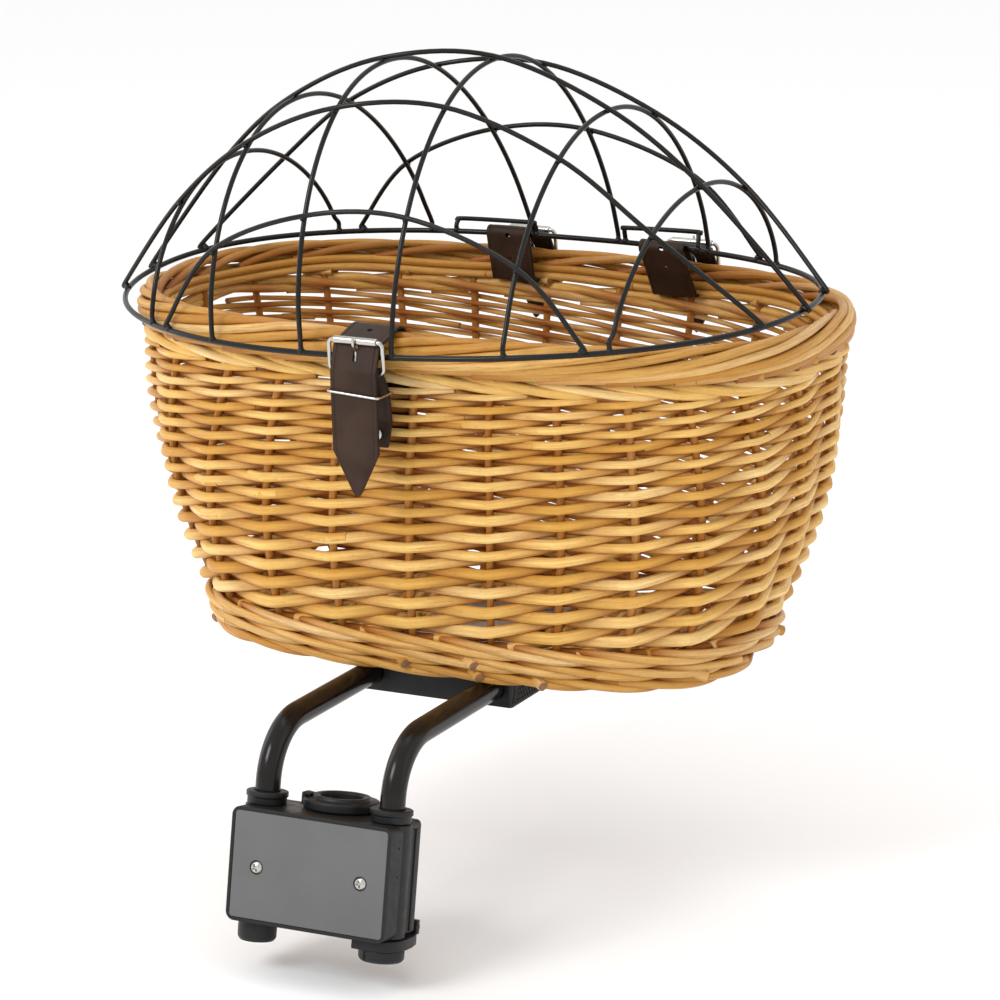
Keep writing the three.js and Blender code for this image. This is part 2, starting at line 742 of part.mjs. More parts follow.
// Clamp housing: pocket for the cover, two sockets, the front half of the bore
function clampHousing() {
  const shape = roundedRectangle(housingWidth, housingHeight, coverCorner + housingBorder);
  const pocket = roundedRectangle(coverWidth + 2 * gap, coverHeight + 2 * gap, coverCorner);
  const tools = [
    slabAlongY(pocket, housingFront - overrun, pocketBack),
    post(boreRadius, -housingTop - overrun, housingTop + overrun, 32),
    post(leverPin + gap, -housingTop - overrun, -housingTop + leverPinDepth, 12, tubeHalfSpacing,
      -tubeToBore - footForward),
  ];
  for (const side of [-1, 1]) {
    tools.push(post(collarOuter + gap, socketBottom, housingTop + overrun, 24, side * tubeHalfSpacing,
      -tubeToBore));
    tools.push(rod(coverScrewRadius, housingFront, pocketBack + coverScrewLength, 12, side * coverScrewX,
      -coverScrewDrop));
    for (const level of [-1, 1]) {
      tools.push(rod(clampBoltRadius + gap, pocketBack + clampHeadHeight, overrun, 12, side * clampBoltX,
        level * clampBoltZ));
    }
  }
  return cut(slabAlongY(shape, housingFront, -gap), ...tools);
}
addMesh(clamp, 'clamp_housing', clampHousing(), blackPlastic);

// Rear jaw: a flange over the housing's back with a bulge round the seat tube
function rearJaw() {
  const shape = roundedRectangle(housingWidth - 2 * housingBorder, housingHeight, coverCorner);
  const flange = slabAlongY(shape, gap, jawThickness);
  const bulge = post(jawBulge, -housingTop, housingTop, 32);
  const front = box(-housingWidth, housingWidth, -2 * jawBulge, gap, -housingHeight, housingHeight);
  const tools = [front, post(boreRadius, -housingTop - overrun, housingTop + overrun, 32)];
  for (const side of [-1, 1]) {
    for (const level of [-1, 1]) {
      tools.push(rod(clampBoltRadius + gap, -overrun, jawBulge + overrun, 12, side * clampBoltX,
        level * clampBoltZ));
      tools.push(rod(clampHeadRadius + gap, jawThickness + gap, jawBulge + overrun, 16, side * clampBoltX,
        level * clampBoltZ));
    }
  }
  return cut(join(flange, bulge), ...tools);
}
addMesh(clamp, 'clamp_rear_jaw', rearJaw(), blackPlastic);

for (const [side, sideName] of [[-1, 'left'], [1, 'right']]) {
  for (const [level, levelName] of [[1, 'upper'], [-1, 'lower']]) {
    const shank = rod(clampBoltRadius, pocketBack + clampHeadHeight + gap, jawThickness + 3 * gap, 12,
      side * clampBoltX, level * clampBoltZ);
    const head = rod(clampHeadRadius, jawThickness + 2 * gap, jawThickness + clampHeadHeight, 6,
      side * clampBoltX, level * clampBoltZ);
    addMesh(clamp, `clamp_bolt_${levelName}_${sideName}`, join(shank, head), steel);
  }
}

// Grey cover with its two cross-head screws
function clampCover() {
  const holes = [-1, 1].map((side) => (
    rod(coverScrewRadius + gap, housingFront - overrun, pocketBack + overrun, 12, side * coverScrewX,
      -coverScrewDrop)));
  const shape = roundedRectangle(coverWidth, coverHeight, coverCorner);
  return cut(slabAlongY(shape, housingFront, housingFront + coverThickness), ...holes);
}
addMesh(clamp, 'clamp_cover', clampCover(), greyPlastic);

function crossHeadScrew(x, z) {
  const headBack = housingFront - gap;
  const headFront = headBack - coverScrewRadius;
  const head = rod(coverScrewHead, headFront, headBack, 20, x, z);
  const shank = rod(coverScrewRadius - gap, headBack - gap, pocketBack + coverScrewLength - gap, 12, x, z);
  const slotLong = coverScrewHead * 0.6;
  const slotHalf = coverScrewHead * 0.12;
  const slotBack = headFront + coverScrewRadius / 2;
  const across = box(x - slotLong, x + slotLong, headFront - overrun, slotBack, z - slotHalf, z + slotHalf);
  const upright = box(x - slotHalf, x + slotHalf, headFront - overrun, slotBack, z - slotLong, z + slotLong);
  return cut(join(head, shank), across, upright);
}
addMesh(clamp, 'cover_screw_left', crossHeadScrew(-coverScrewX, -coverScrewDrop), nickel);
addMesh(clamp, 'cover_screw_right', crossHeadScrew(coverScrewX, -coverScrewDrop), nickel);

// Bush that lines the bore, with its flange and a small lug
function seatTubeBush() {
  const flangeTop = housingTop + bushHeight;
  const profile = [
    [bushInner, -housingTop],
    [boreRadius - gap, -housingTop],
    [boreRadius - gap, housingTop + gap],
    [bushFlange, housingTop + gap],
    [bushFlange, flangeTop - leverPin],
    [bushLip, flangeTop - leverPin],
    [bushLip, flangeTop],
    [bushInner, flangeTop],
    [bushInner, -housingTop],
  ].map(([r, z]) => new THREE.Vector2(r, z));
  const lathe = new THREE.LatheGeometry(profile, 32);
  lathe.rotateX(Math.PI / 2);
  const lug = box(-bushFlange - gap, -bushLip - overrun, -coverCorner, coverCorner, housingTop + gap,
    flangeTop);
  return join(lathe, lug);
}
addMesh(clamp, 'seat_tube_bush', seatTubeBush(), blackPlastic);

// Socket collars that line the sockets round the fork tubes
function socketCollar(x) {
  const sleeve = post(collarOuter, socketBottom + socketFloor, housingTop + 2 * gap, 24, x, -tubeToBore);
  const flange = post(collarFlange, housingTop + gap, housingTop + collarHeight, 28, x, -tubeToBore);
  const inside = post(tubeRadius + gap, -housingTop - overrun, housingTop + collarHeight + overrun, 24, x,
    -tubeToBore);
  return cut(join(sleeve, flange), inside);
}
addMesh(clamp, 'socket_collar_left', socketCollar(-tubeHalfSpacing), blackPlastic);
addMesh(clamp, 'socket_collar_right', socketCollar(tubeHalfSpacing), blackPlastic);

// Left foot under its socket
const footY = -tubeToBore - footForward;
addMesh(clamp, 'clamp_foot_left',
  post(footRadius, -housingTop - footDrop, -housingTop - gap, 32, -tubeHalfSpacing, footY), blackPlastic);

// Release lever under the right socket, turning on its own pin
const leverTop = -housingTop - gap;
const leverBottom = leverTop - leverThickness;

function releaseLever() {
  const arm = new THREE.Shape();
  arm.moveTo(tubeHalfSpacing - leverHub, footY);
  arm.absarc(tubeHalfSpacing, footY, leverHub, Math.PI, Math.PI * 2, false);
  arm.lineTo(tubeHalfSpacing + leverTabWidth, footY + leverReach);
  arm.lineTo(tubeHalfSpacing - leverTabWidth / 2, footY + leverReach);
  const plate = slabAlongZ(arm, leverBottom, leverTop, 12);
  const knob = post(leverHub - gap, leverBottom - leverKnobDrop, leverBottom + gap, 32, tubeHalfSpacing,
    footY);
  const tabFront = footY + leverReach;
  const tab = box(tubeHalfSpacing - leverTabWidth / 2, tubeHalfSpacing + leverTabWidth, tabFront - gap,
    tabFront + leverTabThickness, leverBottom, leverTop + leverTabRise);
  const pinHole = post(leverPin + gap, leverBottom - leverKnobDrop - overrun, leverTop + overrun, 16,
    tubeHalfSpacing, footY);
  const headHole = post(leverPinHead + gap, leverBottom - leverKnobDrop - overrun,
    leverBottom - leverKnobDrop + leverPinHeadHeight + gap, 16, tubeHalfSpacing, footY);
  return cut(join(plate, knob, tab), pinHole, headHole);
}
addMesh(clamp, 'release_lever', releaseLever(), blackPlastic);

function leverScrew() {
  const headLow = leverBottom - leverKnobDrop;
  const head = post(leverPinHead, headLow, headLow + leverPinHeadHeight, 16, tubeHalfSpacing, footY);
  const shank = post(leverPin, headLow + gap, -housingTop + leverPinDepth - gap, 12, tubeHalfSpacing, footY);
  return join(head, shank);
}
addMesh(clamp, 'lever_screw', leverScrew(), steel);

// Lid's ring, resting on the border
function lidRing() {
  const sections = [];
  for (let i = 0; i < ringSteps; i += 1) {
    const p = oval(lidHalfLength, lidHalfWidth, lidRoundness, (2 * Math.PI * i) / ringSteps);
    const section = [];
    for (let j = 0; j < wireSides; j += 1) {
      const angle = (2 * Math.PI * (j + 0.5)) / wireSides;
      const out = ringWire * Math.cos(angle);
      const level = ringLevel(p.x, p.y) + ringWire * Math.sin(angle);
      section.push(new THREE.Vector3(p.x + p.nx * out, p.y + p.ny * out, level));
    }
    sections.push(section);
  }
  return ringSolid(sections);
}
addMesh(lid, 'lid_ring', lidRing(), wire);

const footLevel = ringWire + 2 * gap;
const ribPlaces = ribPlaceShares.map((share) => share * lidHalfLength);

// Height share of a rib where it has come a share of its half width from the middle
function ribRise(widthShare) {
  return Math.max(0, 1 - Math.abs(widthShare) ** ribWidthPower) ** (1 / ribHeightPower);
}

function ribPoint(rib, widthShare) {
  const x = ribPlaces[rib] + (ribSkew * widthShare) / 2;
  const halfWidth = ovalWidthAt(lidHalfLength, lidHalfWidth, lidRoundness, x);
  const rise = ribRise(widthShare);
  const lean = ribLeanShares[rib] * lidHalfWidth;
  return new THREE.Vector3(x, halfWidth * widthShare + lean * rise, domeHeight * ribHeightShares[rib] * rise);
}

function onRing(x, side) {
  const y = side * ovalWidthAt(lidHalfLength, lidHalfWidth, lidRoundness, x);
  return new THREE.Vector3(x, y, ringLevel(x, y) + footLevel);
}

function ribPath(rib) {
  const points = [];
  for (let i = 1; i < ribPoints - 1; i += 1) {
    const angle = Math.PI * (i / (ribPoints - 1) - 0.5);
    const widthShare = Math.sign(Math.sin(angle)) * Math.abs(Math.sin(angle)) ** (2 / ribWidthPower);
    const point = ribPoint(rib, widthShare);
    if (point.z > footLevel + 2 * footStub) points.push(point);
  }
  const front = onRing(ribPlaces[rib] - ribSkew / 2, -1);
  const rear = onRing(ribPlaces[rib] + ribSkew / 2, 1);
  const lift = new THREE.Vector3(0, 0, footStub);
  return [front, front.clone().add(lift), ...points, rear.clone().add(lift), rear];
}
ribPlaces.forEach((place, rib) => {
  addMesh(lid, `lid_rib_${rib + 1}`, wireAlong(ribPath(rib), domeWire, wireSides, ribSteps), wire);
});

// Long arches lie on the ribs and are welded to them at each crossing
function archPath(arch) {
  const offset = archOffsetShares[arch] * lidHalfWidth;
  const endX = archEndShares[arch] * lidHalfLength;
  const side = Math.sign(offset);
  const crossings = [];
  ribPlaces.forEach((place, rib) => {
    if (Math.abs(place) > endX - footStub) return;
    const halfWidth = ovalWidthAt(lidHalfLength, lidHalfWidth, lidRoundness, place);
    const widthShare = offset / halfWidth;
    const step = 0.01;
    const ribTangent = ribPoint(rib, widthShare + step).sub(ribPoint(rib, widthShare - step)).normalize();
    crossings.push({ point: ribPoint(rib, widthShare), ribTangent });
  });
  const left = onRing(-endX, side);
  const right = onRing(endX, side);
  const bare = [left, ...crossings.map((c) => c.point), right];
  const lifted = crossings.map((crossing, i) => {
    const along = bare[i + 2].clone().sub(bare[i]).normalize();
    const normal = crossing.ribTangent.clone().cross(along).normalize();
    if (normal.z < 0) normal.negate();
    return crossing.point.clone().addScaledVector(normal, 2 * domeWire + gap);
  });
  const lift = new THREE.Vector3(0, 0, footStub);
  return [left, left.clone().add(lift), ...lifted, right.clone().add(lift), right];
}
archOffsetShares.forEach((offset, arch) => {
  addMesh(lid, `lid_arch_${arch + 1}`, wireAlong(archPath(arch), domeWire, wireSides, archSteps), wire);
});

// Hinge bails: small wire loops standing on the rear of the ring, held by the rear straps
bailPlaces.forEach((place, i) => {
  const halfWidth = bailWidth / 2;
  const bailPoints = [];
  for (const side of [-1, 1]) {
    const x = place + side * halfWidth;
    const foot = onRing(x, 1);
    const inner = bailCorner / 3;
    const corner = [
      foot,
      foot.clone().add(new THREE.Vector3(0, 0, inner)),
      new THREE.Vector3(x - (side * inner) / 2, (foot.y + bailY) / 2, bailRise - inner),
      new THREE.Vector3(x - side * bailCorner, bailY, bailRise),
    ];
    bailPoints.push(...(side < 0 ? corner : corner.reverse()));
  }
  addMesh(lid, i === 0 ? 'hinge_bail_left' : 'hinge_bail_right',
    wireAlong(bailPoints, domeWire, wireSides, bailSteps), wire);
});

// The path of a strap's middle, laid round discs like a belt: each stop is a point or a disc that
// it passes with the disc on its left (turn 1) or on its right (turn -1)
function strapPath(stops) {
  const signed = stops.map((stop) => (stop.turn || 0) * (stop.radius || 0));
  const lines = [];
  for (let i = 0; i + 1 < stops.length; i += 1) {
    const run = stops[i + 1].out - stops[i].out;
    const rise = stops[i + 1].up - stops[i].up;
    const angle = Math.atan2(rise, run) - Math.asin((signed[i + 1] - signed[i]) / Math.hypot(run, rise));
    lines.push(angle);
  }
  const at = (stop, radius, angle) => new THREE.Vector2(
    stop.out + radius * Math.sin(angle),
    stop.up - radius * Math.cos(angle),
  );
  const points = [];
  stops.forEach((stop, i) => {
    const before = i > 0 ? lines[i - 1] : lines[0];
    const after = i < lines.length ? lines[i] : before;
    if (!signed[i]) {
      points.push(new THREE.Vector2(stop.out, stop.up));
      return;
    }
    let sweep = Math.atan2(Math.sin(after - before), Math.cos(after - before));
    if (sweep * stop.turn < 0 && Math.abs(sweep) < Math.PI / 2) {
      points.push(at(stop, signed[i], before + sweep / 2));
      return;
    }
    if (sweep * stop.turn < 0) sweep += stop.turn * 2 * Math.PI;
    const steps = Math.max(1, Math.ceil(Math.abs(sweep) / radians(22)));
    for (let k = 0; k <= steps; k += 1) points.push(at(stop, signed[i], before + (sweep * k) / steps));
  });
  return points;
}

// Both faces of a strap round its middle line, closed into one outline
function strapOutline(path, thickness) {
  const left = [];
  const right = [];
  path.forEach((point, i) => {
    const before = path[Math.max(i - 1, 0)];
    const after = path[Math.min(i + 1, path.length - 1)];
    const incoming = point.clone().sub(before).normalize();
    const outgoing = after.clone().sub(point).normalize();
    const along = incoming.clone().add(outgoing).normalize();
    const bend = Math.max(0.5, i > 0 && i + 1 < path.length ? along.dot(outgoing) : 1);
    const normal = new THREE.Vector2(-along.y, along.x).multiplyScalar(thickness / 2 / bend);
    left.push(point.clone().add(normal));
    right.push(point.clone().sub(normal));
  });
  return [...left, ...right.reverse()];
}

// A strap of one width across X; side is -1 before the basket and 1 behind it
function strapSolid(stops, x, side) {
  const shape = new THREE.Shape(strapOutline(strapPath(stops), strapThickness));
  const geometry = new THREE.ExtrudeGeometry(shape, { depth: strapWidth, bevelEnabled: false });
  const turned = new THREE.Matrix4().makeBasis(
    new THREE.Vector3(0, side, 0),
    new THREE.Vector3(0, 0, 1),
    new THREE.Vector3(side, 0, 0),
  );
  geometry.applyMatrix4(turned);
  geometry.translate(x - (side * strapWidth) / 2, 0, 0);
  return geometry;
}

// Cutting tool that leaves a strap's end pointed below a level
function pointCutter(x, side, out, tipUp) {
  const half = strapWidth / 2 + overrun;
  const tools = [];
  for (const hand of [-1, 1]) {
    const shape = new THREE.Shape();
    shape.moveTo(x + hand * tailNose, tipUp - overrun);
    shape.lineTo(x + hand * half, tipUp - overrun);
    shape.lineTo(x + hand * half, tipUp + tailPoint * 1.2);
    shape.lineTo(x + hand * tailNose, tipUp);
    tools.push(slabAlongY(shape, side * out - 4 * strapThickness, side * out + 4 * strapThickness));
  }
  return tools;
}

const strapHalf = strapThickness / 2;
const layer = strapThickness + gap;
const hingeTurn = buckleWire + gap + strapHalf;
const rollerTurn = rollerRadius + gap + strapHalf;

// A buckle in side view: hinge bar, roller bar, and the prong's line from one to the other
function buckleParts(x, side, hinge, roller) {
  const place = (out, up, across) => new THREE.Vector3(x + across, side * out, up);
  const rise = new THREE.Vector2(roller.out - hinge.out, roller.up - hinge.up);
  const height = rise.length();
  const along = rise.clone().normalize();
  const normal = new THREE.Vector2(along.y, -along.x);
  const loop = roundedRectangle(buckleWidth, height, buckleCorner).getPoints(3);
  loop.pop();
  const sections = loop.map((point, i) => {
    const before = loop[(i + loop.length - 1) % loop.length];
    const after = loop[(i + 1) % loop.length];
    const tangent = after.clone().sub(before).normalize();
    const outward = new THREE.Vector2(tangent.y, -tangent.x);
    const section = [];
    for (let j = 0; j < wireSides; j += 1) {
      const angle = (2 * Math.PI * (j + 0.5)) / wireSides;
      const flat = point.clone().addScaledVector(outward, buckleWire * Math.cos(angle));
      const depth = buckleWire * Math.sin(angle);
      const far = hinge.out + along.x * (flat.y + height / 2) + normal.x * depth;
      const up = hinge.up + along.y * (flat.y + height / 2) + normal.y * depth;
      section.push(place(far, up, flat.x));
    }
    return section;
  });
  const frame = ringSolid(sections);

  const rollerHalf = buckleWidth / 2 - buckleCorner - gap;
  const rollerTube = cut(
    bar(rollerRadius, x - rollerHalf, x + rollerHalf, 16, side * roller.out, roller.up),
    bar(buckleWire + gap, x - rollerHalf - overrun, x + rollerHalf + overrun, 16, side * roller.out,
      roller.up),
  );

  const eyeHalf = prongEyeWidth / 2;
  const eye = bar(prongEyeRadius, x - eyeHalf, x + eyeHalf, 16, side * hinge.out, hinge.up);
  const eyeHole = bar(buckleWire + gap, x - prongEyeWidth, x + prongEyeWidth, 16, side * hinge.out, hinge.up);
  const rest = rollerRadius + prongRadius + gap;
  const startOut = hinge.out + normal.x * (prongEyeRadius - prongRadius) * 0.5;
  const startUp = hinge.up + normal.y * (prongEyeRadius - prongRadius) * 0.5;
  const endOut = roller.out + normal.x * rest;
  const endUp = roller.up + normal.y * rest;
  const reach = Math.hypot(endOut - startOut, endUp - startUp);
  const stretch = (reach + prongOvershoot) / reach;
  const from = place(startOut, startUp, 0);
  const to = place(startOut + (endOut - startOut) * stretch, startUp + (endUp - startUp) * stretch, 0);
  const shank = new THREE.ExtrudeGeometry(polygon(prongRadius, wireSides), {
    steps: 1,
    bevelEnabled: false,
    extrudePath: new THREE.LineCurve3(from, to),
  });
  const prong = cut(join(eye, shank), eyeHole);
  return { frame, rollerTube, prong };
}

// Slot in a strap for the prong, from under the hinge bar to the roller
function prongSlot(x, side, hinge, roller) {
  const half = prongSlotWidth / 2;
  const reach = hingeTurn + layer + strapThickness;
  return box(x - half, x + half, side * hinge.out - reach, side * hinge.out + reach,
    hinge.up - prongEyeRadius - 3 * gap, roller.up - rollerRadius);
}

// Rear straps: each holds a hinge bail down to the border and is closed by a buckle outside
function bailBarAt(x) {
  const a = new THREE.Vector3(-1, bailY, bailRise).applyMatrix4(lid.matrix);
  const b = new THREE.Vector3(1, bailY, bailRise).applyMatrix4(lid.matrix);
  return a.clone().lerp(b, (x - a.x) / (b.x - a.x));
}

// The lid's ring where a rear strap passes it, at the strap's edge where it lies furthest in
function ringAt(x, side) {
  const places = [-1, 1].map((hand) => {
    const acrossLid = x + lidShiftLeft + (hand * strapWidth) / 2;
    const y = side * ovalWidthAt(lidHalfLength, lidHalfWidth, lidRoundness, acrossLid);
    return new THREE.Vector3(acrossLid, y, ringLevel(acrossLid, y)).applyMatrix4(lid.matrix);
  });
  return places[0].y < places[1].y ? places[0] : places[1];
}

const rearHinge = { out: rimHalfWidth + rearHingeReach, up: -rearHingeDrop };
const rearRoller = { out: rimHalfWidth + rearRollerReach, up: rearRollerRise };
const rearTailOut = rimHalfWidth + rearTailReach;

// How far out the wall's outer face is at a strap's nearer and further edge
function wallOutAt(x, z) {
  const { halfLength, halfWidth, power } = wallOutline(z);
  return ovalWidthAt(halfLength, halfWidth, power, x);
}

function rearStrap(x) {
  const bailBar = bailBarAt(x);
  const ring = ringAt(x, 1);
  const slotMiddle = -slotDrop + slotCorner;
  const nearEdge = Math.abs(x) - strapWidth / 2;
  const farEdge = Math.abs(x) + strapWidth / 2;
  const slotOutside = wallOutAt(nearEdge, -slotDrop) + slotCorner / 2;
  const slotInside = wallOutAt(farEdge, -slotDrop) - wallThickness - slotCorner;
  const stops = [
    { out: rearTailOut, up: -rearTailDrop },
    { ...rearHinge, radius: hingeTurn + layer, turn: 1 },
    { ...rearRoller, radius: rollerTurn, turn: -1 },
    { out: bailBar.y, up: bailBar.z, radius: domeWire + strapSlack + strapHalf, turn: 1 },
    { out: ring.y, up: ring.z, radius: ringWire + 3 * gap + strapHalf, turn: 1 },
    { out: slotInside, up: slotMiddle, radius: slotCorner, turn: 1 },
    { out: slotOutside, up: slotMiddle, radius: slotCorner, turn: 1 },
    { ...rearHinge, radius: hingeTurn, turn: -1 },
    { out: rearHinge.out + hingeTurn, up: rearHinge.up - chapeTurnBack },
  ];
  return cut(
    strapSolid(stops, x, 1),
    prongSlot(x, 1, rearHinge, rearRoller),
    ...pointCutter(x, 1, rearTailOut, -rearTailDrop),
  );
}
rearStrapPlaces.forEach((x, i) => {
  const name = i === 0 ? 'left' : 'right';
  const { frame, rollerTube, prong } = buckleParts(x, 1, rearHinge, rearRoller);
  addMesh(tub, `rear_strap_${name}`, rearStrap(x), leather);
  addMesh(tub, `rear_buckle_frame_${name}`, frame, nickel);
  addMesh(tub, `rear_buckle_roller_${name}`, rollerTube, nickel);
  addMesh(tub, `rear_buckle_prong_${name}`, prong, nickel);
});

// Front strap: from a rivet inside, over the border and the lid's ring, through its buckle and down
const frontHinge = { out: rimHalfWidth + frontHingeReach, up: -frontHingeDrop };
const frontRoller = { out: rimHalfWidth + frontRollerReach, up: -frontRollerDrop };
const tailTipOut = rimHalfWidth + tailTipReach;
const strapFootUp = -rivetDrop - strapEndPastRivet;
const strapKneeUp = -rivetDrop + strapEndPastRivet;
const frontFarEdge = Math.abs(frontStrapX) + strapWidth / 2;
const frontNearEdge = Math.abs(frontStrapX) - strapWidth / 2;
const frontStrapStops = [
  { out: tailTipOut, up: -tailTipDrop },
  { ...frontHinge, radius: hingeTurn + layer, turn: 1 },
  { ...frontRoller, radius: rollerTurn, turn: -1 },
  { out: rimHalfWidth, up: -borderDrop, radius: borderRadius + 3 * gap + strapHalf, turn: 1 },
  { out: wallOutAt(frontFarEdge, strapFootUp) - wallThickness - strapFootSlack - strapHalf, up: strapFootUp },
];
const chapeStops = [
  { out: wallOutAt(frontNearEdge, strapFootUp) + 2 * gap + strapHalf, up: strapFootUp },
  { out: wallOutAt(frontNearEdge, strapKneeUp) + gap + strapHalf + strapThickness, up: strapKneeUp,
    radius: strapThickness, turn: -1 },
  { ...frontHinge, radius: hingeTurn, turn: -1 },
  { out: frontHinge.out + hingeTurn - chapeTurnIn, up: frontHinge.up - chapeTurnBack },
];

// How far out the middle of each strand of a strap is at a level
function strandsAt(stops, level) {
  const path = strapPath(stops);
  const found = [];
  for (let i = 0; i + 1 < path.length; i += 1) {
    const share = (level - path[i].y) / (path[i + 1].y - path[i].y);
    if (share >= 0 && share <= 1) found.push(path[i].x + (path[i + 1].x - path[i].x) * share);
  }
  return found;
}

function frontStrap() {
  return cut(
    strapSolid(frontStrapStops, frontStrapX, -1),
    prongSlot(frontStrapX, -1, frontHinge, frontRoller),
    rod(rivetRadius + gap, -rimHalfWidth, 0, 12, frontStrapX, -rivetDrop),
    ...pointCutter(frontStrapX, -1, tailTipOut, -tailTipDrop),
  );
}
addMesh(tub, 'front_strap', frontStrap(), leather);

function frontChape() {
  return cut(
    strapSolid(chapeStops, frontStrapX, -1),
    prongSlot(frontStrapX, -1, frontHinge, frontRoller),
    rivetHole,
  );
}
addMesh(tub, 'front_strap_chape', frontChape(), leather);

function strapRivet() {
  const inner = Math.min(...strandsAt(frontStrapStops, -rivetDrop)) - strapHalf - 3 * gap;
  const outer = Math.min(...strandsAt(chapeStops, -rivetDrop)) + strapHalf + 3 * gap;
  const shank = rod(rivetRadius, -outer - gap, -inner + gap, 12, frontStrapX, -rivetDrop);
  const outside = rod(rivetHead, -outer - rivetHeadHeight, -outer, 20, frontStrapX, -rivetDrop);
  const inside = rod(rivetHead, -inner, -inner + rivetHeadHeight, 20, frontStrapX, -rivetDrop);
  return join(shank, outside, inside);
}
addMesh(tub, 'front_strap_rivet', strapRivet(), nickel);

const frontBuckle = buckleParts(frontStrapX, -1, frontHinge, frontRoller);
addMesh(tub, 'front_buckle_frame', frontBuckle.frame, nickel);
addMesh(tub, 'front_buckle_roller', frontBuckle.rollerTube, nickel);
addMesh(tub, 'front_buckle_prong', frontBuckle.prong, nickel);

function strapKeeper() {
  const reach = strapHalf + keeperWire + keeperSlack;
  const outer = Math.max(...strandsAt(frontStrapStops, -keeperDrop)) + reach;
  const inner = Math.min(...strandsAt(chapeStops, -keeperDrop)) - reach;
  const middle = (outer + inner) / 2;
  const loop = roundedRectangle(2 * keeperHalfWidth, outer - inner, 2 * keeperWire).getPoints(3);
  loop.pop();
  const sections = loop.map((point, i) => {
    const before = loop[(i + loop.length - 1) % loop.length];
    const after = loop[(i + 1) % loop.length];
    const tangent = after.clone().sub(before).normalize();
    const outward = new THREE.Vector2(tangent.y, -tangent.x);
    const section = [];
    for (let j = 0; j < wireSides; j += 1) {
      const angle = (2 * Math.PI * (j + 0.5)) / wireSides;
      const flat = point.clone().addScaledVector(outward, keeperWire * Math.cos(angle));
      section.push(new THREE.Vector3(frontStrapX + flat.x, -(middle + flat.y),
        -keeperDrop + keeperWire * Math.sin(angle)));
    }
    return section;
  });
  return ringSolid(sections);
}
addMesh(tub, 'strap_keeper', strapKeeper(), nickel);

export default model;
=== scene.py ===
"""Looks of the willow dog basket for a bicycle: weave, lid wires, leather, buckles, carrier and clamp."""

import json
import math

import bmesh
import bpy
import numpy as np
from mathutils import Matrix, Vector


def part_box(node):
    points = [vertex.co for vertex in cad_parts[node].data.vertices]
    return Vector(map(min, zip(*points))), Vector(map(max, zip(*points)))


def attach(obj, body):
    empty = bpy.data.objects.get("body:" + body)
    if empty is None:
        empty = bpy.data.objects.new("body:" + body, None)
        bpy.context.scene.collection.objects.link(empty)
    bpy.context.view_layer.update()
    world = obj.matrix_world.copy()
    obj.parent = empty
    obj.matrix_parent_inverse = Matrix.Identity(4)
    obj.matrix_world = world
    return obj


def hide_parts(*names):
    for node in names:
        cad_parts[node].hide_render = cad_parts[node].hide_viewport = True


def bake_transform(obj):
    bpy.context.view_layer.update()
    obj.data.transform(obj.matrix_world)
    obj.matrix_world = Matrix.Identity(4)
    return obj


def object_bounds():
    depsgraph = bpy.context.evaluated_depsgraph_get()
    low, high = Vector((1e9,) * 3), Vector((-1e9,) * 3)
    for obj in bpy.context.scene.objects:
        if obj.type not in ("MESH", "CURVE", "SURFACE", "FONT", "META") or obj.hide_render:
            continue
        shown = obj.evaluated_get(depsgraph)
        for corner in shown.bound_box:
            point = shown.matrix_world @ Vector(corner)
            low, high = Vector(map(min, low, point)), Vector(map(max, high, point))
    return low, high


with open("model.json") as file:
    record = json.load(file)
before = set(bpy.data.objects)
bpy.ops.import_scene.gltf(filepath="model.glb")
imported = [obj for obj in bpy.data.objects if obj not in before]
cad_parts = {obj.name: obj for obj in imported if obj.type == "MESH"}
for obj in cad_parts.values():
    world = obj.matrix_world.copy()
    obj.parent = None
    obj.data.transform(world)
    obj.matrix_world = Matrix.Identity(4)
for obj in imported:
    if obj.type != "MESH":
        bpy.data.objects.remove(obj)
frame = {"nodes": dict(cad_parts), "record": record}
cad_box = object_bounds()

# Sizes in metres; these first ones are the same as the solids'
GAP = 0.0003
BASKET_REACH = 0.268
RIM_HEIGHT = 0.386
BASKET_DEPTH = 0.276
RIM_HALF_LENGTH = 0.270
RIM_HALF_WIDTH = 0.176
RIM_ROUNDNESS = 2.7
BORDER_RADIUS = 0.010
BORDER_DROP = 0.011
WALL_HALF_LENGTH = 0.2745
WALL_HALF_WIDTH = 0.1784
DEPTH_SHARES = [0, 0.3, 0.55, 0.8, 1]
LENGTH_SHARES = [1, 1, 0.962, 0.879, 0.796]
WIDTH_SHARES = [1, 0.9815, 0.9296, 0.8358, 0.7471]
ROUNDNESS_SHARES = [1, 1.01, 1.02, 1.03, 1.04]
TUB = Vector((0, BASKET_REACH, RIM_HEIGHT))

rng = np.random.default_rng(7)


def moved(x, y, z):
    return Matrix.Translation(Vector((x, y, z)))


def spun(degrees, axis):
    return Matrix.Rotation(math.radians(degrees), 4, axis)


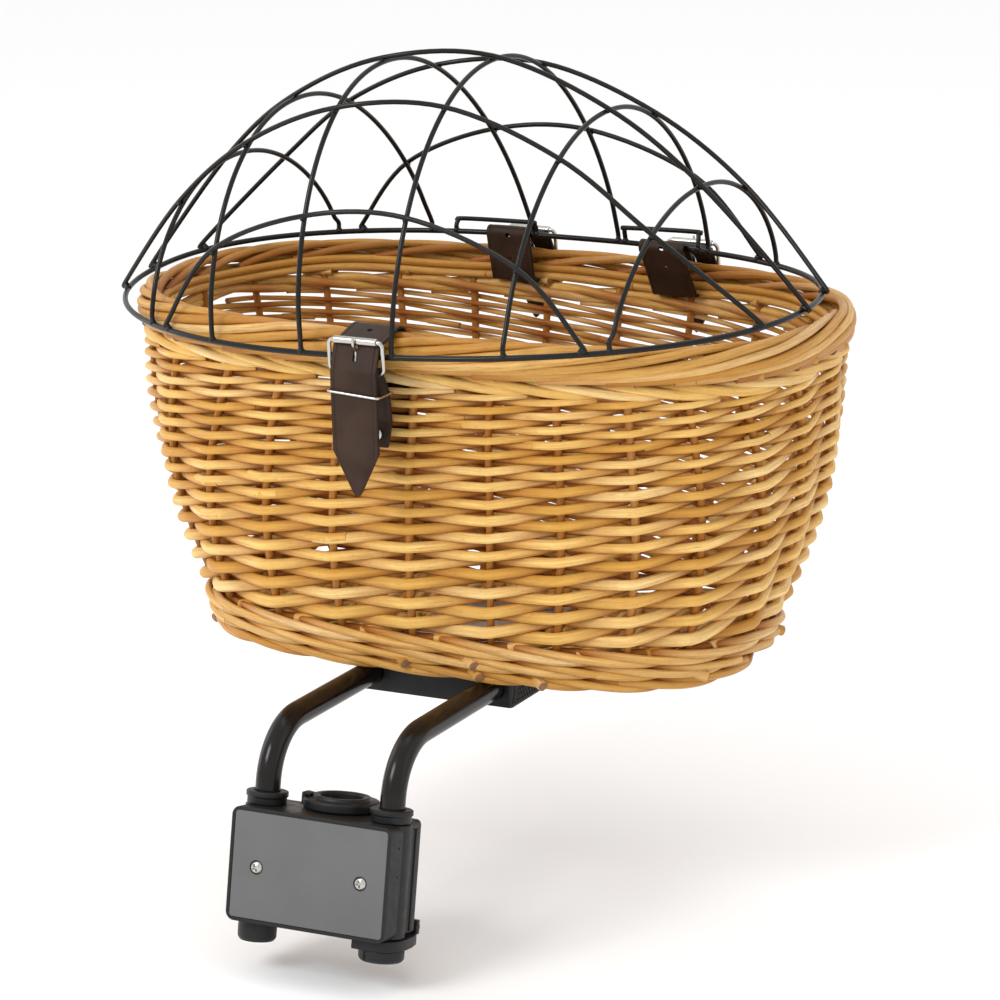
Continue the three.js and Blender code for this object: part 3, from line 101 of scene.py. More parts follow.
# Materials
class Shader:
    """A principled material whose nodes are added one by one."""

    def __init__(self, name, **values):
        self.material = bpy.data.materials.new(name)
        self.material.use_nodes = True
        self.tree = self.material.node_tree
        self.shader = self.tree.nodes["Principled BSDF"]
        for key, value in values.items():
            self.shader.inputs[key.replace("_", " ")].default_value = value

    def node(self, kind, inputs=None, **settings):
        made = self.tree.nodes.new(kind)
        for key, value in settings.items():
            setattr(made, key, value)
        for key, value in (inputs or {}).items():
            if isinstance(value, bpy.types.NodeSocket):
                self.tree.links.new(value, made.inputs[key])
            else:
                made.inputs[key].default_value = value
        return made

    def link(self, socket, key):
        self.tree.links.new(socket, self.shader.inputs[key])

    def math(self, operation, a, b=0.0):
        return self.node("ShaderNodeMath", {0: a, 1: b}, operation=operation).outputs[0]

    def scaled(self, value, size):
        return self.math("MULTIPLY", value, size)

    def attribute(self, name):
        return self.node("ShaderNodeAttribute", attribute_name=name).outputs["Fac"]

    def place(self):
        return self.node("ShaderNodeTexCoord").outputs["Object"]

    def vector(self, x, y, z):
        return self.node("ShaderNodeCombineXYZ", {"X": x, "Y": y, "Z": z}).outputs[0]

    def noise(self, vector, scale, detail=3.0, roughness=0.5):
        inputs = {"Vector": vector, "Scale": scale, "Detail": detail, "Roughness": roughness}
        return self.node("ShaderNodeTexNoise", inputs).outputs["Fac"]

    def ramp(self, factor, stops):
        made = self.node("ShaderNodeValToRGB", {"Fac": factor})
        elements = made.color_ramp.elements
        while len(elements) < len(stops):
            elements.new(0.5)
        for element, (place, colour) in zip(elements, stops):
            element.position = place
            element.color = (*colour, 1)
        return made.outputs["Color"]

    def blend(self, factor, a, b, kind="MIX"):
        made = self.node("ShaderNodeMix", {"Factor": factor}, data_type="RGBA", blend_type=kind)
        for socket, value in ((made.inputs[6], a), (made.inputs[7], b)):
            if isinstance(value, bpy.types.NodeSocket):
                self.tree.links.new(value, socket)
            else:
                socket.default_value = (*value, 1)
        return made.outputs[2]

    def spread(self, value, low, high, to_low, to_high):
        inputs = {"Value": value, "From Min": low, "From Max": high, "To Min": to_low, "To Max": to_high}
        return self.node("ShaderNodeMapRange", inputs).outputs["Result"]

    def cloudy_roughness(self, scale, detail, low, high):
        self.link(self.spread(self.noise(self.place(), scale, detail), 0.3, 0.7, low, high), "Roughness")

    def tinted(self, colour, lighter, scale, detail, low, high):
        """The colour, made lighter in clouds."""
        cloud = self.spread(self.noise(self.place(), scale, detail), low, high, 0.0, 1.0)
        self.link(self.blend(cloud, colour, tuple(lighter * c for c in colour)), "Base Color")

    def bump(self, height, strength, distance):
        made = self.node("ShaderNodeBump", {"Height": height, "Strength": strength, "Distance": distance})
        self.link(made.outputs["Normal"], "Normal")


WILLOW_TONES = [(0.0, (0.42, 0.18, 0.02)), (0.3, (0.63, 0.33, 0.055)), (0.62, (0.83, 0.53, 0.155)),
                (1.0, (0.93, 0.74, 0.41))]
STREAK_COLOUR = (0.50, 0.215, 0.03)
SPECK_COLOUR = (0.17, 0.07, 0.02)
# colour of the painted shade on rods that lie deep in the weave
DEPTH_SHADE_COLOUR = (0.40, 0.16, 0.01)
PITH_COLOURS = [(0.12, 0.045, 0.02), (0.36, 0.19, 0.085)]


def willow_material():
    s = Shader("willow", Specular_IOR_Level=0.3)
    along, turn, tone = s.attribute("along"), s.attribute("turn"), s.attribute("tone")
    stretch, girth, tone_step = 22.0, 1.4, 91.0
    patch_stretch, patch_tone_step, patch_share = 9.0, 57.0, 0.45
    angle = s.scaled(turn, 2 * math.pi)
    side, front = (s.scaled(s.math(wave, angle), girth) for wave in ("COSINE", "SINE"))
    lane = s.vector(s.scaled(along, stretch), s.math("ADD", side, s.scaled(tone, tone_step)), front)
    patch = s.vector(s.scaled(along, patch_stretch), s.scaled(tone, patch_tone_step), 0.0)
    patchy = s.scaled(s.noise(patch, scale=1.0, detail=2.0), patch_share)
    colour = s.ramp(s.math("ADD", s.scaled(tone, 1 - patch_share), patchy), WILLOW_TONES)
    streak = s.noise(lane, scale=1.6, detail=4.0, roughness=0.6)
    colour = s.blend(s.spread(streak, 0.42, 0.72, to_low=0.0, to_high=0.7), colour, STREAK_COLOUR)
    speck = s.noise(lane, scale=7.0, detail=1.0)
    colour = s.blend(s.spread(speck, 0.68, 0.76, to_low=0.0, to_high=0.75), colour, SPECK_COLOUR)
    # painted shade: the deeper a rod lies in the weave, the darker and browner it is drawn
    sunk = s.spread(s.attribute("depth"), -1.0, 0.7, to_low=0.95, to_high=0.0)
    colour = s.blend(sunk, colour, DEPTH_SHADE_COLOUR, "MULTIPLY")
    pith = s.blend(s.noise(s.place(), scale=700.0), *PITH_COLOURS)
    colour = s.blend(s.attribute("cut"), colour, pith)
    s.link(colour, "Base Color")
    s.link(s.spread(streak, 0.3, 0.8, to_low=0.32, to_high=0.55), "Roughness")
    s.bump(s.math("ADD", streak, s.scaled(speck, 0.5)), strength=0.55, distance=0.0008)
    return s.material


def enamel_material(name, colour, roughness, grain, strength):
    s = Shader(name, Specular_IOR_Level=0.26)
    s.tinted(colour, lighter=1.7, scale=60.0, detail=4.0, low=0.45, high=0.75)
    s.cloudy_roughness(scale=25.0, detail=3.0, low=roughness, high=1.6 * roughness)
    s.bump(s.noise(s.place(), grain, detail=2.0), strength, distance=0.0004)
    return s.material


def leather_material():
    s = Shader("leather", Specular_IOR_Level=0.16)
    across = s.math("ABSOLUTE", s.attribute("across"), 0.0)
    cloud = s.noise(s.place(), scale=38.0, detail=4.0)
    colour = s.ramp(cloud, [(0.3, (0.024, 0.0125, 0.008)), (0.7, (0.047, 0.026, 0.0165))])
    edge_share, edge_colour, line_place, line_width = 0.93, (0.012, 0.007, 0.005), 0.82, 0.035
    edge = s.spread(across, edge_share, 1.0, to_low=0.0, to_high=0.8)
    s.link(s.blend(edge, colour, edge_colour), "Base Color")
    s.link(s.spread(cloud, 0.3, 0.7, to_low=0.42, to_high=0.58), "Roughness")
    cells = s.node("ShaderNodeTexVoronoi", {"Vector": s.place(), "Scale": 900.0}).outputs["Distance"]
    from_line = s.math("ABSOLUTE", s.math("SUBTRACT", across, line_place), 0.0)
    pressed = s.spread(from_line, 0.0, line_width, to_low=-2.2, to_high=0.0)
    s.bump(s.math("ADD", s.scaled(cells, 0.5), pressed), strength=0.45, distance=0.0005)
    return s.material


def metal_material(name, colour, roughness, scratch):
    s = Shader(name, Metallic=1.0, Base_Color=(*colour, 1))
    s.cloudy_roughness(scale=220.0, detail=4.0, low=roughness, high=roughness * scratch)
    s.bump(s.noise(s.place(), scale=700.0, detail=2.0), strength=0.03, distance=0.0002)
    return s.material


def plastic_material(name, colour, roughness, grain):
    s = Shader(name, Specular_IOR_Level=0.32)
    s.tinted(colour, lighter=1.12, scale=18.0, detail=3.0, low=0.35, high=0.7)
    s.cloudy_roughness(scale=160.0, detail=3.0, low=roughness, high=roughness + 0.12)
    s.bump(s.noise(s.place(), grain, detail=2.0), strength=0.25, distance=0.0003)
    return s.material


WILLOW = willow_material()
WIRE = enamel_material("dome_wire", (0.005, 0.0045, 0.004), roughness=0.2, grain=420.0, strength=0.06)
TUBE = enamel_material("tube_paint", (0.006, 0.0045, 0.004), roughness=0.16, grain=260.0, strength=0.03)
LEATHER = leather_material()
NICKEL = metal_material("nickel", (0.50, 0.485, 0.455), roughness=0.14, scratch=1.8)
STEEL = metal_material("steel", (0.5, 0.5, 0.49), roughness=0.3, scratch=1.5)
BLACK = plastic_material("black_plastic", (0.007, 0.007, 0.0072), roughness=0.4, grain=1500.0)
GREY = plastic_material("grey_plastic", (0.112, 0.112, 0.113), roughness=0.5, grain=1200.0)
SLOTS = {"willow": WILLOW, "dome_wire": WIRE, "leather": LEATHER, "nickel": NICKEL, "steel": STEEL,
         "tube_paint": TUBE, "black_plastic": BLACK, "grey_plastic": GREY}
SLOT_OF = {part["node"]: part["material_slot"] for part in frame["record"]["subparts"]}


# Meshes
MERGE = GAP / 100
SHARP_DEGREES = 40
FLAT_DEGREES = 1.5
CORNER_CUT_SHARE = 0.45      # the most that a corner's rounding takes of a side
ROD_DEPTH = 0.6
CUT_RIM_SHARE = 0.86
CUT_RISE_SHARE = 0.12
CUT_TIP_SHARE = 0.16
# how far the edges of each piece are rounded
EDGE = {
    "block": 0.0016, "knob": 0.0012, "lever": 0.0009, "jaw": 0.0008, "foot": 0.0008, "housing": 0.0007,
    "bush": 0.0007, "barrel": 0.0006, "collar": 0.0006, "hook": 0.0006, "ridge": 0.0006, "cover": 0.0005,
    "lug": 0.0005, "band": 0.0004, "hardware": 0.0004, "screw": 0.0003, "rivet": 0.0003, "pin": 0.0002,
    "roller": 0.0002, "seam": 0.0002,
}


def linked(name, data):
    made = bpy.data.objects.new(name, data)
    bpy.context.scene.collection.objects.link(made)
    return made


def piece(name, mesh, slot_name, body, *nodes):
    made = linked(name, mesh)
    mesh.materials.clear()
    mesh.materials.append(SLOTS[slot_name])
    if body:
        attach(made, body)
    if nodes:
        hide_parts(*nodes)
    return made


class Rods:
    """Gathers round rods into one mesh, with what the willow material reads from them: how deep each rod
    lies sets its painted shade.
    """

    def __init__(self):
        self.points, self.faces, self.values, self.count = [], [], [], 0

    def add(self, path, radius, sides=10, closed=False, tone=0.5, depth=None, start=None):
        path = np.asarray(path, float)
        count = len(path)
        radius = np.broadcast_to(np.asarray(radius, float), (count,))
        tangent = tangents(path, closed)
        side = np.zeros_like(path)
        first = start if start is not None else np.cross(tangent[0], [0, 0, 1.0])
        side[0] = unit(first - tangent[0] * np.dot(first, tangent[0]))
        for i in range(1, count):
            moved = side[i - 1] - tangent[i] * np.dot(side[i - 1], tangent[i])
            side[i] = unit(moved)
        other = np.cross(tangent, side)
        angle = np.linspace(0, 2 * math.pi, sides, endpoint=False)
        if closed:
            last = side[-1] - tangent[0] * np.dot(side[-1], tangent[0])
            twist = math.atan2(np.dot(unit(last), other[0]), np.dot(unit(last), side[0]))
            turned = angle[None, :] - (twist * np.arange(count) / count)[:, None]
        else:
            turned = np.broadcast_to(angle[None, :], (count, sides))
        ring = (path[:, None, :]
                + radius[:, None, None] * np.cos(turned)[..., None] * side[:, None, :]
                + radius[:, None, None] * np.sin(turned)[..., None] * other[:, None, :])
        along = np.concatenate([[0], np.cumsum(np.linalg.norm(np.diff(path, axis=0), axis=1))])
        values = np.zeros((count, sides, 5))
        values[..., 0] = along[:, None]
        values[..., 1] = (angle / (2 * math.pi))[None, :]
        values[..., 2] = tone
        values[..., 3] = ROD_DEPTH if depth is None else np.asarray(depth)[:, None]
        self.points.append(ring.reshape(-1, 3))
        self.values.append(values.reshape(-1, 5))
        base = self.count
        rows = count if closed else count - 1
        a = base + np.arange(rows)[:, None] * sides + np.arange(sides)[None, :]
        b = base + np.arange(rows)[:, None] * sides + (np.arange(sides)[None, :] + 1) % sides
        step = np.full((rows, 1), sides)
        if closed:
            step[-1, 0] = -(rows - 1) * sides
        self.faces.extend(np.stack([a, b, b + step, a + step], axis=-1).reshape(-1, 4).tolist())
        self.count += count * sides
        if not closed:
            for end, sign in ((0, -1), (count - 1, 1)):
                self.cap(path[end], ring[end], values[end], tangent[end] * sign, sign)
        return self

    def cap(self, centre, rim, values, outward, sign):
        """A slightly domed cut end."""
        sides = len(rim)
        size = np.linalg.norm(rim - centre, axis=1).mean()
        inner = centre + (rim - centre) * CUT_RIM_SHARE + outward * size * CUT_RISE_SHARE
        tip = centre + outward * size * CUT_TIP_SHARE
        marked = np.repeat(values[:1], 2 * sides + 1, axis=0)
        marked[:, 4] = 1.0
        marked[:sides, 4] = 0.0
        self.points.append(np.vstack([rim, inner, tip[None, :]]))
        self.values.append(marked)
        base = self.count
        for k in range(sides):
            n = (k + 1) % sides
            quad = [base + k, base + n, base + sides + n, base + sides + k]
            fan = [base + sides + k, base + sides + n, base + 2 * sides]
            self.faces.append(quad if sign > 0 else quad[::-1])
            self.faces.append(fan if sign > 0 else fan[::-1])
        self.count += 2 * sides + 1

    def mesh(self, name):
        made = bpy.data.meshes.new(name)
        made.from_pydata(np.vstack(self.points).tolist(), [], self.faces)
        values = np.vstack(self.values)
        for k, key in enumerate(("along", "turn", "tone", "depth", "cut")):
            set_values(made, key, values[:, k])
        made.shade_smooth()
        return made

    def piece(self, name, slot_name, body, *nodes):
        return piece(name, self.mesh(name), slot_name, body, *nodes)


def set_values(mesh, key, values):
    mesh.attributes.new(key, "FLOAT", "POINT").data.foreach_set("value", values.astype(np.float32))


def unit(vector):
    return vector / max(np.linalg.norm(vector), 1e-12)


def tangents(path, closed):
    if closed:
        ahead, behind = np.roll(path, -1, axis=0), np.roll(path, 1, axis=0)
        found = ahead - behind
    else:
        found = np.gradient(path, axis=0)
    return found / np.maximum(np.linalg.norm(found, axis=1, keepdims=True), 1e-12)


def smooth(points, per_span):
    """An even Catmull-Rom curve through the points, from the first to the last."""
    p = np.asarray(points, float)
    p = np.vstack([2 * p[0] - p[1], p, 2 * p[-1] - p[-2]])
    t = np.linspace(0, 1, per_span, endpoint=False)[:, None]
    out = []
    for a, b, c, d in zip(p[:-3], p[1:-2], p[2:-1], p[3:]):
        square, cube = 2 * a - 5 * b + 4 * c - d, 3 * b - 3 * c + d - a
        out.append(0.5 * (2 * b + (c - a) * t + square * t ** 2 + cube * t ** 3))
    return np.vstack([*out, p[-2:-1]])


def opened(*meshes):
    made = bmesh.new()
    for mesh in meshes:
        made.from_mesh(mesh)
    return made


def closed_up(made, mesh):
    made.to_mesh(mesh)
    made.free()
    return mesh


def from_bmesh(made, name):
    return closed_up(made, bpy.data.meshes.new(name))


def joined(name, *meshes):
    return from_bmesh(opened(*meshes), name)


def shell(name, points, faces, matrix=None):
    """A closed mesh with its faces looking outward."""
    mesh = bpy.data.meshes.new(name)
    mesh.from_pydata(points.reshape(-1, 3).tolist(), [], faces)
    if matrix:
        mesh.transform(matrix)
    made = opened(mesh)
    bmesh.ops.remove_doubles(made, verts=made.verts, dist=MERGE)
    bmesh.ops.recalc_face_normals(made, faces=made.faces)
    return closed_up(made, mesh)


def between_rows(rows, width, closed):
    """Faces between rows of points, each row a loop of this many."""
    found = []
    for i in range(rows if closed else rows - 1):
        j = (i + 1) % rows
        for k in range(width):
            n = (k + 1) % width
            found.append((i * width + k, i * width + n, j * width + n, j * width + k))
    return found


def soften(mesh, degrees=32):
    """Smooth shading that stops at edges sharper than this."""
    made = opened(mesh)
    for face in made.faces:
        face.smooth = True
    for edge in made.edges:
        edge.smooth = len(edge.link_faces) == 2 and edge.calc_face_angle() < math.radians(degrees)
    return closed_up(made, mesh)


def bevel_sharp(made, width, segments=3):
    sharp = [edge for edge in made.edges
             if len(edge.link_faces) == 2 and edge.calc_face_angle() > math.radians(SHARP_DEGREES)]
    bmesh.ops.bevel(made, geom=sharp, offset=width, segments=segments, profile=0.5, affect="EDGES",
                    clamp_overlap=True)


def refined(node, bevel, segments=3):
    """The solid's mesh with its facets merged and its edges rounded off."""
    made = opened(frame["nodes"][node].data)
    bmesh.ops.remove_doubles(made, verts=made.verts, dist=MERGE)
    flat = math.radians(FLAT_DEGREES)
    bmesh.ops.dissolve_limit(made, angle_limit=flat, verts=made.verts, edges=made.edges)
    bevel_sharp(made, bevel, segments)
    return soften(from_bmesh(made, node))


def rounded_profile(profile, size):
    """A closed outline whose corners are cut back by this much and rounded."""
    points = np.asarray(profile, float)
    found = []
    for before, corner, after in zip(np.roll(points, 1, axis=0), points, np.roll(points, -1, axis=0)):
        into, away = corner - before, after - corner
        shorter = min(np.linalg.norm(into), np.linalg.norm(away))
        cut = min(size, CORNER_CUT_SHARE * shorter)
        start, end = corner - unit(into) * cut, corner + unit(away) * cut
        for t in np.linspace(0, 1, 5):
            found.append((1 - t) ** 2 * start + 2 * t * (1 - t) * corner + t ** 2 * end)
    return np.array(found)


def lathe(name, profile, matrix, size, sides=64):
    """A closed profile of radius and height, its corners rounded, turned about Z and put in its place."""
    outline = rounded_profile(profile, size)
    turn = np.linspace(0, 2 * math.pi, sides, endpoint=False)
    x = outline[:, 0][:, None] * np.cos(turn)[None, :]
    y = outline[:, 0][:, None] * np.sin(turn)[None, :]
    z = np.broadcast_to(outline[:, 1][:, None], x.shape)
    faces = between_rows(len(outline), sides, True)
    return soften(shell(name, np.stack([x, y, z], axis=-1), faces, matrix))


def punch(radius, depth, matrix, segments):
    """A round cutter, its middle at the frame's origin."""
    made = bmesh.new()
    bmesh.ops.create_cone(made, cap_ends=True, segments=segments, radius1=radius, radius2=radius,
                          depth=depth, matrix=matrix)
    return from_bmesh(made, "punch")


def carve(name, mesh, cutters):
    """The mesh less the cutters."""
    base = linked(name, mesh)
    tools = []
    for cutter in cutters:
        tool = linked("cutter", cutter)
        modifier = base.modifiers.new("cut", "BOOLEAN")
        modifier.operation = "DIFFERENCE"
        modifier.solver = "EXACT"
        modifier.object = tool
        tools.append(tool)
    bpy.context.view_layer.update()
    result = bpy.data.meshes.new_from_object(base.evaluated_get(bpy.context.evaluated_depsgraph_get()))
    for made in (base, *tools):
        bpy.data.objects.remove(made)
    return result


def slab(name, outline, low, high, bevel=0.0, matrix=None):
    """An outline in X and Y given height along Z, its edges rounded."""
    made = bmesh.new()
    bottom = [made.verts.new((x, y, low)) for x, y in outline]
    top = [made.verts.new((x, y, high)) for x, y in outline]
    made.faces.new(bottom[::-1])
    made.faces.new(top)
    for k in range(len(outline)):
        n = (k + 1) % len(outline)
        made.faces.new((bottom[k], bottom[n], top[n], top[k]))
    bmesh.ops.recalc_face_normals(made, faces=made.faces)
    if bevel:
        bevel_sharp(made, bevel)
    mesh = from_bmesh(made, name)
    if matrix:
        mesh.transform(matrix)
    return soften(mesh)


def rectangle(width, height, corner, steps=6):
    """A rounded rectangle about the origin, anticlockwise."""
    found = []
    for sx, sy, first in ((1, -1, -0.5), (1, 1, 0), (-1, 1, 0.5), (-1, -1, 1)):
        for k in range(steps + 1):
            angle = math.pi * (first + 0.5 * k / steps)
            found.append((sx * (width / 2 - corner) + corner * math.cos(angle),
                          sy * (height / 2 - corner) + corner * math.sin(angle)))
    return found


# The wall's outer face by stake number and height
STAKES = 25
STAKE_LEVEL_HIGH = -0.100
STAKE_LEVEL_LOW = -0.200
FRONT_SHARES_HIGH = [0.6375, 0.6753, 0.7145, 0.7574, 0.8, 0.8363, 0.8741, 0.9079, 0.9447]
FRONT_SHARES_LOW = [0.6102, 0.6573, 0.7025, 0.75, 0.7985, 0.8393, 0.8815, 0.9201, 0.9687]
TABLE_SAMPLES = 720
TABLE_LEVELS = 47


def eased(values, share):
    k = 0
    while k < len(DEPTH_SHARES) - 2 and share > DEPTH_SHARES[k + 1]:
        k += 1

    def slope(i):
        low, high = max(i - 1, 0), min(i + 1, len(values) - 1)
        return (values[high] - values[low]) / (DEPTH_SHARES[high] - DEPTH_SHARES[low])

    span = DEPTH_SHARES[k + 1] - DEPTH_SHARES[k]
    t = (share - DEPTH_SHARES[k]) / span
    rise = 3 * t ** 2 - 2 * t ** 3
    return ((1 - rise) * values[k] + rise * values[k + 1]
            + (t ** 3 - 2 * t ** 2 + t) * span * slope(k) + (t ** 3 - t ** 2) * span * slope(k + 1))


def oval(half_length, half_width, power, turn):
    """Points of a superellipse with their outward directions: columns x, y, nx, ny."""
    c, s = np.cos(turn), np.sin(turn)
    x = half_length * np.sign(c) * np.abs(c) ** (2 / power)
    y = half_width * np.sign(s) * np.abs(s) ** (2 / power)
    nx = np.sign(c) * np.abs(x / half_length) ** (power - 1) / half_length
    ny = np.sign(s) * np.abs(y / half_width) ** (power - 1) / half_width
    length = np.hypot(nx, ny)
    return np.stack([x, y, nx / length, ny / length], axis=-1)


def oval_width_at(half_length, half_width, power, x):
    return half_width * max(0.0, 1 - abs(x / half_length) ** power) ** (1 / power)


def evenly(half_length, half_width, power):
    """The oval's points at even shares of the way round, starting at +X."""
    fine = oval(half_length, half_width, power, np.linspace(0, 2 * math.pi, 8 * TABLE_SAMPLES + 1))
    way = np.concatenate([[0], np.cumsum(np.hypot(*np.diff(fine[:, :2], axis=0).T))])
    shares = np.linspace(0, way[-1], TABLE_SAMPLES + 1)
    return np.stack([np.interp(shares, way, fine[:, k]) for k in range(4)], axis=-1)


def wall_outline(z):
    share = -z / BASKET_DEPTH
    return (WALL_HALF_LENGTH * eased(LENGTH_SHARES, share), WALL_HALF_WIDTH * eased(WIDTH_SHARES, share),
            RIM_ROUNDNESS * eased(ROUNDNESS_SHARES, share))


WALL_TABLE = np.stack([evenly(*wall_outline(z)) for z in np.linspace(-BASKET_DEPTH, 0, TABLE_LEVELS)])
RIM_TABLE = evenly(RIM_HALF_LENGTH, RIM_HALF_WIDTH, RIM_ROUNDNESS)


def stake_shares(front):
    """Share of the way round at which each stake stands, and once more the first."""
    rest = STAKES - len(front) + 1
    step = (1 + front[0] - front[-1]) / rest
    return np.array(front + [front[-1] + step * (k + 1) for k in range(rest)])


SHARES_HIGH = stake_shares(FRONT_SHARES_HIGH)
SHARES_LOW = stake_shares(FRONT_SHARES_LOW)


def share_of(stake, z):
    """Share of the way round at a stake number, which may lie between stakes, and a height."""
    stake = np.asarray(stake, float)
    lap = np.floor(stake / STAKES)
    places = np.arange(STAKES + 1)
    high, low = (np.interp(stake - lap * STAKES, places, shares) for shares in (SHARES_HIGH, SHARES_LOW))
    return high + (low - high) * (z - STAKE_LEVEL_HIGH) / (STAKE_LEVEL_LOW - STAKE_LEVEL_HIGH)


def wall_at(share, level):
    low = np.clip(np.floor(level).astype(int), 0, TABLE_LEVELS - 2)
    place = (share % 1.0) * TABLE_SAMPLES
    left = np.minimum(place.astype(int), TABLE_SAMPLES - 1)
    up, over = (level - low)[..., None], (place - left)[..., None]
    lower = WALL_TABLE[low, left] * (1 - over) + WALL_TABLE[low, left + 1] * over
    upper = WALL_TABLE[low + 1, left] * (1 - over) + WALL_TABLE[low + 1, left + 1] * over
    return lower * (1 - up) + upper * up


def on_wall(stake, z, out):
    """Places in the row frame, out from the wall's outer face at right angles to its slope."""
    stake, z, out = np.broadcast_arrays(*(np.asarray(value, float) for value in (stake, z, out)))
    share = share_of(stake, z)
    level = np.clip((z + BASKET_DEPTH) / BASKET_DEPTH * (TABLE_LEVELS - 1), 0, TABLE_LEVELS - 1)
    found = wall_at(share, level)
    above = wall_at(share, np.minimum(level + 1, TABLE_LEVELS - 1))
    below = wall_at(share, np.maximum(level - 1, 0))
    flare = np.sum((above - below)[..., :2] * found[..., 2:], axis=-1)
    tilt = np.arctan2(flare, 2 * BASKET_DEPTH / (TABLE_LEVELS - 1))
    reach = out * np.cos(tilt)
    x = found[..., 0] + found[..., 2] * reach
    y = found[..., 1] + found[..., 3] * reach
    return np.stack([x + TUB.x, y + TUB.y, z - out * np.sin(tilt) + TUB.z], axis=-1)


def on_rim(stake, out, up):
    """Places round the border's middle line, in the row frame."""
    place = (share_of(stake, STAKE_LEVEL_HIGH / 3) % 1.0) * TABLE_SAMPLES
    left = np.minimum(place.astype(int), TABLE_SAMPLES - 1)
    over = (place - left)[..., None]
    found = RIM_TABLE[left] * (1 - over) + RIM_TABLE[left + 1] * over
    x = found[..., 0] + found[..., 2] * out
    y = found[..., 1] + found[..., 3] * out
    return np.stack([x + TUB.x, y + TUB.y, up - BORDER_DROP + TUB.z], axis=-1)


# Weave
STAKE_RADIUS = 0.0030
WEAVE_FOOT = -0.248
WEAVE_TOP = -0.0435
ROWS = 30
ROW_GROWTH_SHARE = 0.27
LAST_ROW = 29.6
STAKE_SINK = 0.0007       # how far a rod presses into a stake
FOOT_ROWS = 3
FOOT_BULGE = 0.0025
FOOT_OVERLAP = 0.003      # how far the foot's rows reach up into the weave
FOOT_ROD = 0.0031
LEAN_SHARE = 0.87         # a strand's rise and fall across its row, by its radius
FOOT_SHADE = 0.8          # painted shade: the foot is drawn darker and browner
TOP_ROW = -0.0365
TOP_ROD = 0.0037
SAMPLES = 12              # points from stake to stake
ROUND_SHARE = 0.15
# how uneven the rods are: lowest and highest share of their size, and slow waves with their steps
WEAVER_SHARES = (0.94, 1.06)
STRAND_SHARES = (0.95, 1.08)
STAKE_SHARES = (0.95, 1.1)
BORDER_ROD_SHARES = (0.95, 1.05)
FLOOR_ROD_SHARES = (0.93, 1.05)
STRETCH_SHARES = (0.97, 1.04)
WEAVER_WAVE = (0.025, 7)
ROW_WAVE = (0.0004, 9)
STRAND_WAVE = (0.02, 9)
STAKE_WAVE = (0.008, 5)
BORDER_WAVE = (0.02, 8)


def row_level(row):
    share = row / ROWS
    climbed = (1 + ROW_GROWTH_SHARE) * share - ROW_GROWTH_SHARE * share ** 2
    return WEAVE_FOOT + (WEAVE_TOP - WEAVE_FOOT) * climbed


def zigzag(stake):
    """In front at even places and behind at odd ones, nearly straight between them."""
    from_even = np.abs((stake + 1) % 2 - 1)
    return ROUND_SHARE * np.cos(math.pi * stake) + (1 - ROUND_SHARE) * (1 - 2 * from_even)


def wander(count, size, step):
    """A slow random wave, one value per point."""
    knots = rng.normal(0, size, count // step + 3)
    return np.interp(np.arange(count) / step, np.arange(len(knots)), knots)


FIRST_ROW = -0.7
ROD_ROWS = (10, 17)       # fewest rows that a rod climbs, and one more than the most
LONGER_CHANCE = 0.25
ROD_OVERLAP = 0.55
SHORTEST_ROD = 4


def lengths_of_rod():
    """A weaver's way up is made of two or three rods that follow on from one another."""
    joins, place = [], FIRST_ROW
    while place < LAST_ROW:
        end = place + rng.integers(*ROD_ROWS) + (0.0 if rng.random() < 1 - LONGER_CHANCE else 1.0)
        joins.append((place, min(end, LAST_ROW)))
        place = end - ROD_OVERLAP
        if LAST_ROW - place < SHORTEST_ROD:
            joins[-1] = (joins[-1][0], LAST_ROW)
            break
    return joins


WEAVER_SHARE = 1.13        # a weaver's thick end, by half its row, is squeezed into its neighbours
WEAVER_TAPER_SHARE = 0.14
BACK_PLACES = [TUB.y, TUB.y + 0.13]
BACK_THINNING = 0.18       # the top of the back is woven with thinner rods, and more light comes through
BACK_FOOT, BACK_HEAD = -0.17, -0.09


def randing(rods):
    """One weaver from each stake: every weaver climbs a row with each stake that it passes."""
    for k in range(STAKES):
        for first, last in lengths_of_rod():
            row = np.arange(first, last, 1 / SAMPLES)
            pitch = row_level(row + 1) - row_level(row)
            progress = (row - first) / (last - first)
            radius = 0.5 * pitch * (WEAVER_SHARE - WEAVER_TAPER_SHARE * progress)
            radius = radius * rng.uniform(*WEAVER_SHARES)
            radius = radius * (1 + wander(len(row), *WEAVER_WAVE))
            swing = zigzag(row + 1)
            reach = STAKE_RADIUS + radius - STAKE_SINK
            z = row_level(row + 0.5) + wander(len(row), *ROW_WAVE)
            path = on_wall(k + row, z, -(reach + radius) + reach * swing)
            upper = np.clip((z - BACK_FOOT) / (BACK_HEAD - BACK_FOOT), 0, 1)
            radius = radius * (1 - BACK_THINNING * upper * np.interp(path[:, 1], BACK_PLACES, [0, 1]))
            rods.add(path, radius, sides=12, tone=rng.random(), depth=swing)


# how far in front of a stake a waling strand is, and how high in its row, by the stakes that it has passed
WALE_TURNS = [0, 0.3, 0.8, 1.3, 2, 2.7, 3]
WALE_FRONT_SHARES = [0.8, 1, 1, 0.8, -1, 0.4, 0.8]
WALE_LEAN_TURNS = [0, 1, 1.5, 2, 2.5, 3]
WALE_LEAN_SHARES = [1, -1, -1.2, 0, 1.2, 1]
WALE_OVERLAP = 2.2
WALE_SMOOTHING = np.hanning(9)[1:-1] / np.hanning(9)[1:-1].sum()


def smoothed(wave):
    return np.convolve(np.pad(wave, 3, mode="edge"), WALE_SMOOTHING, mode="valid")


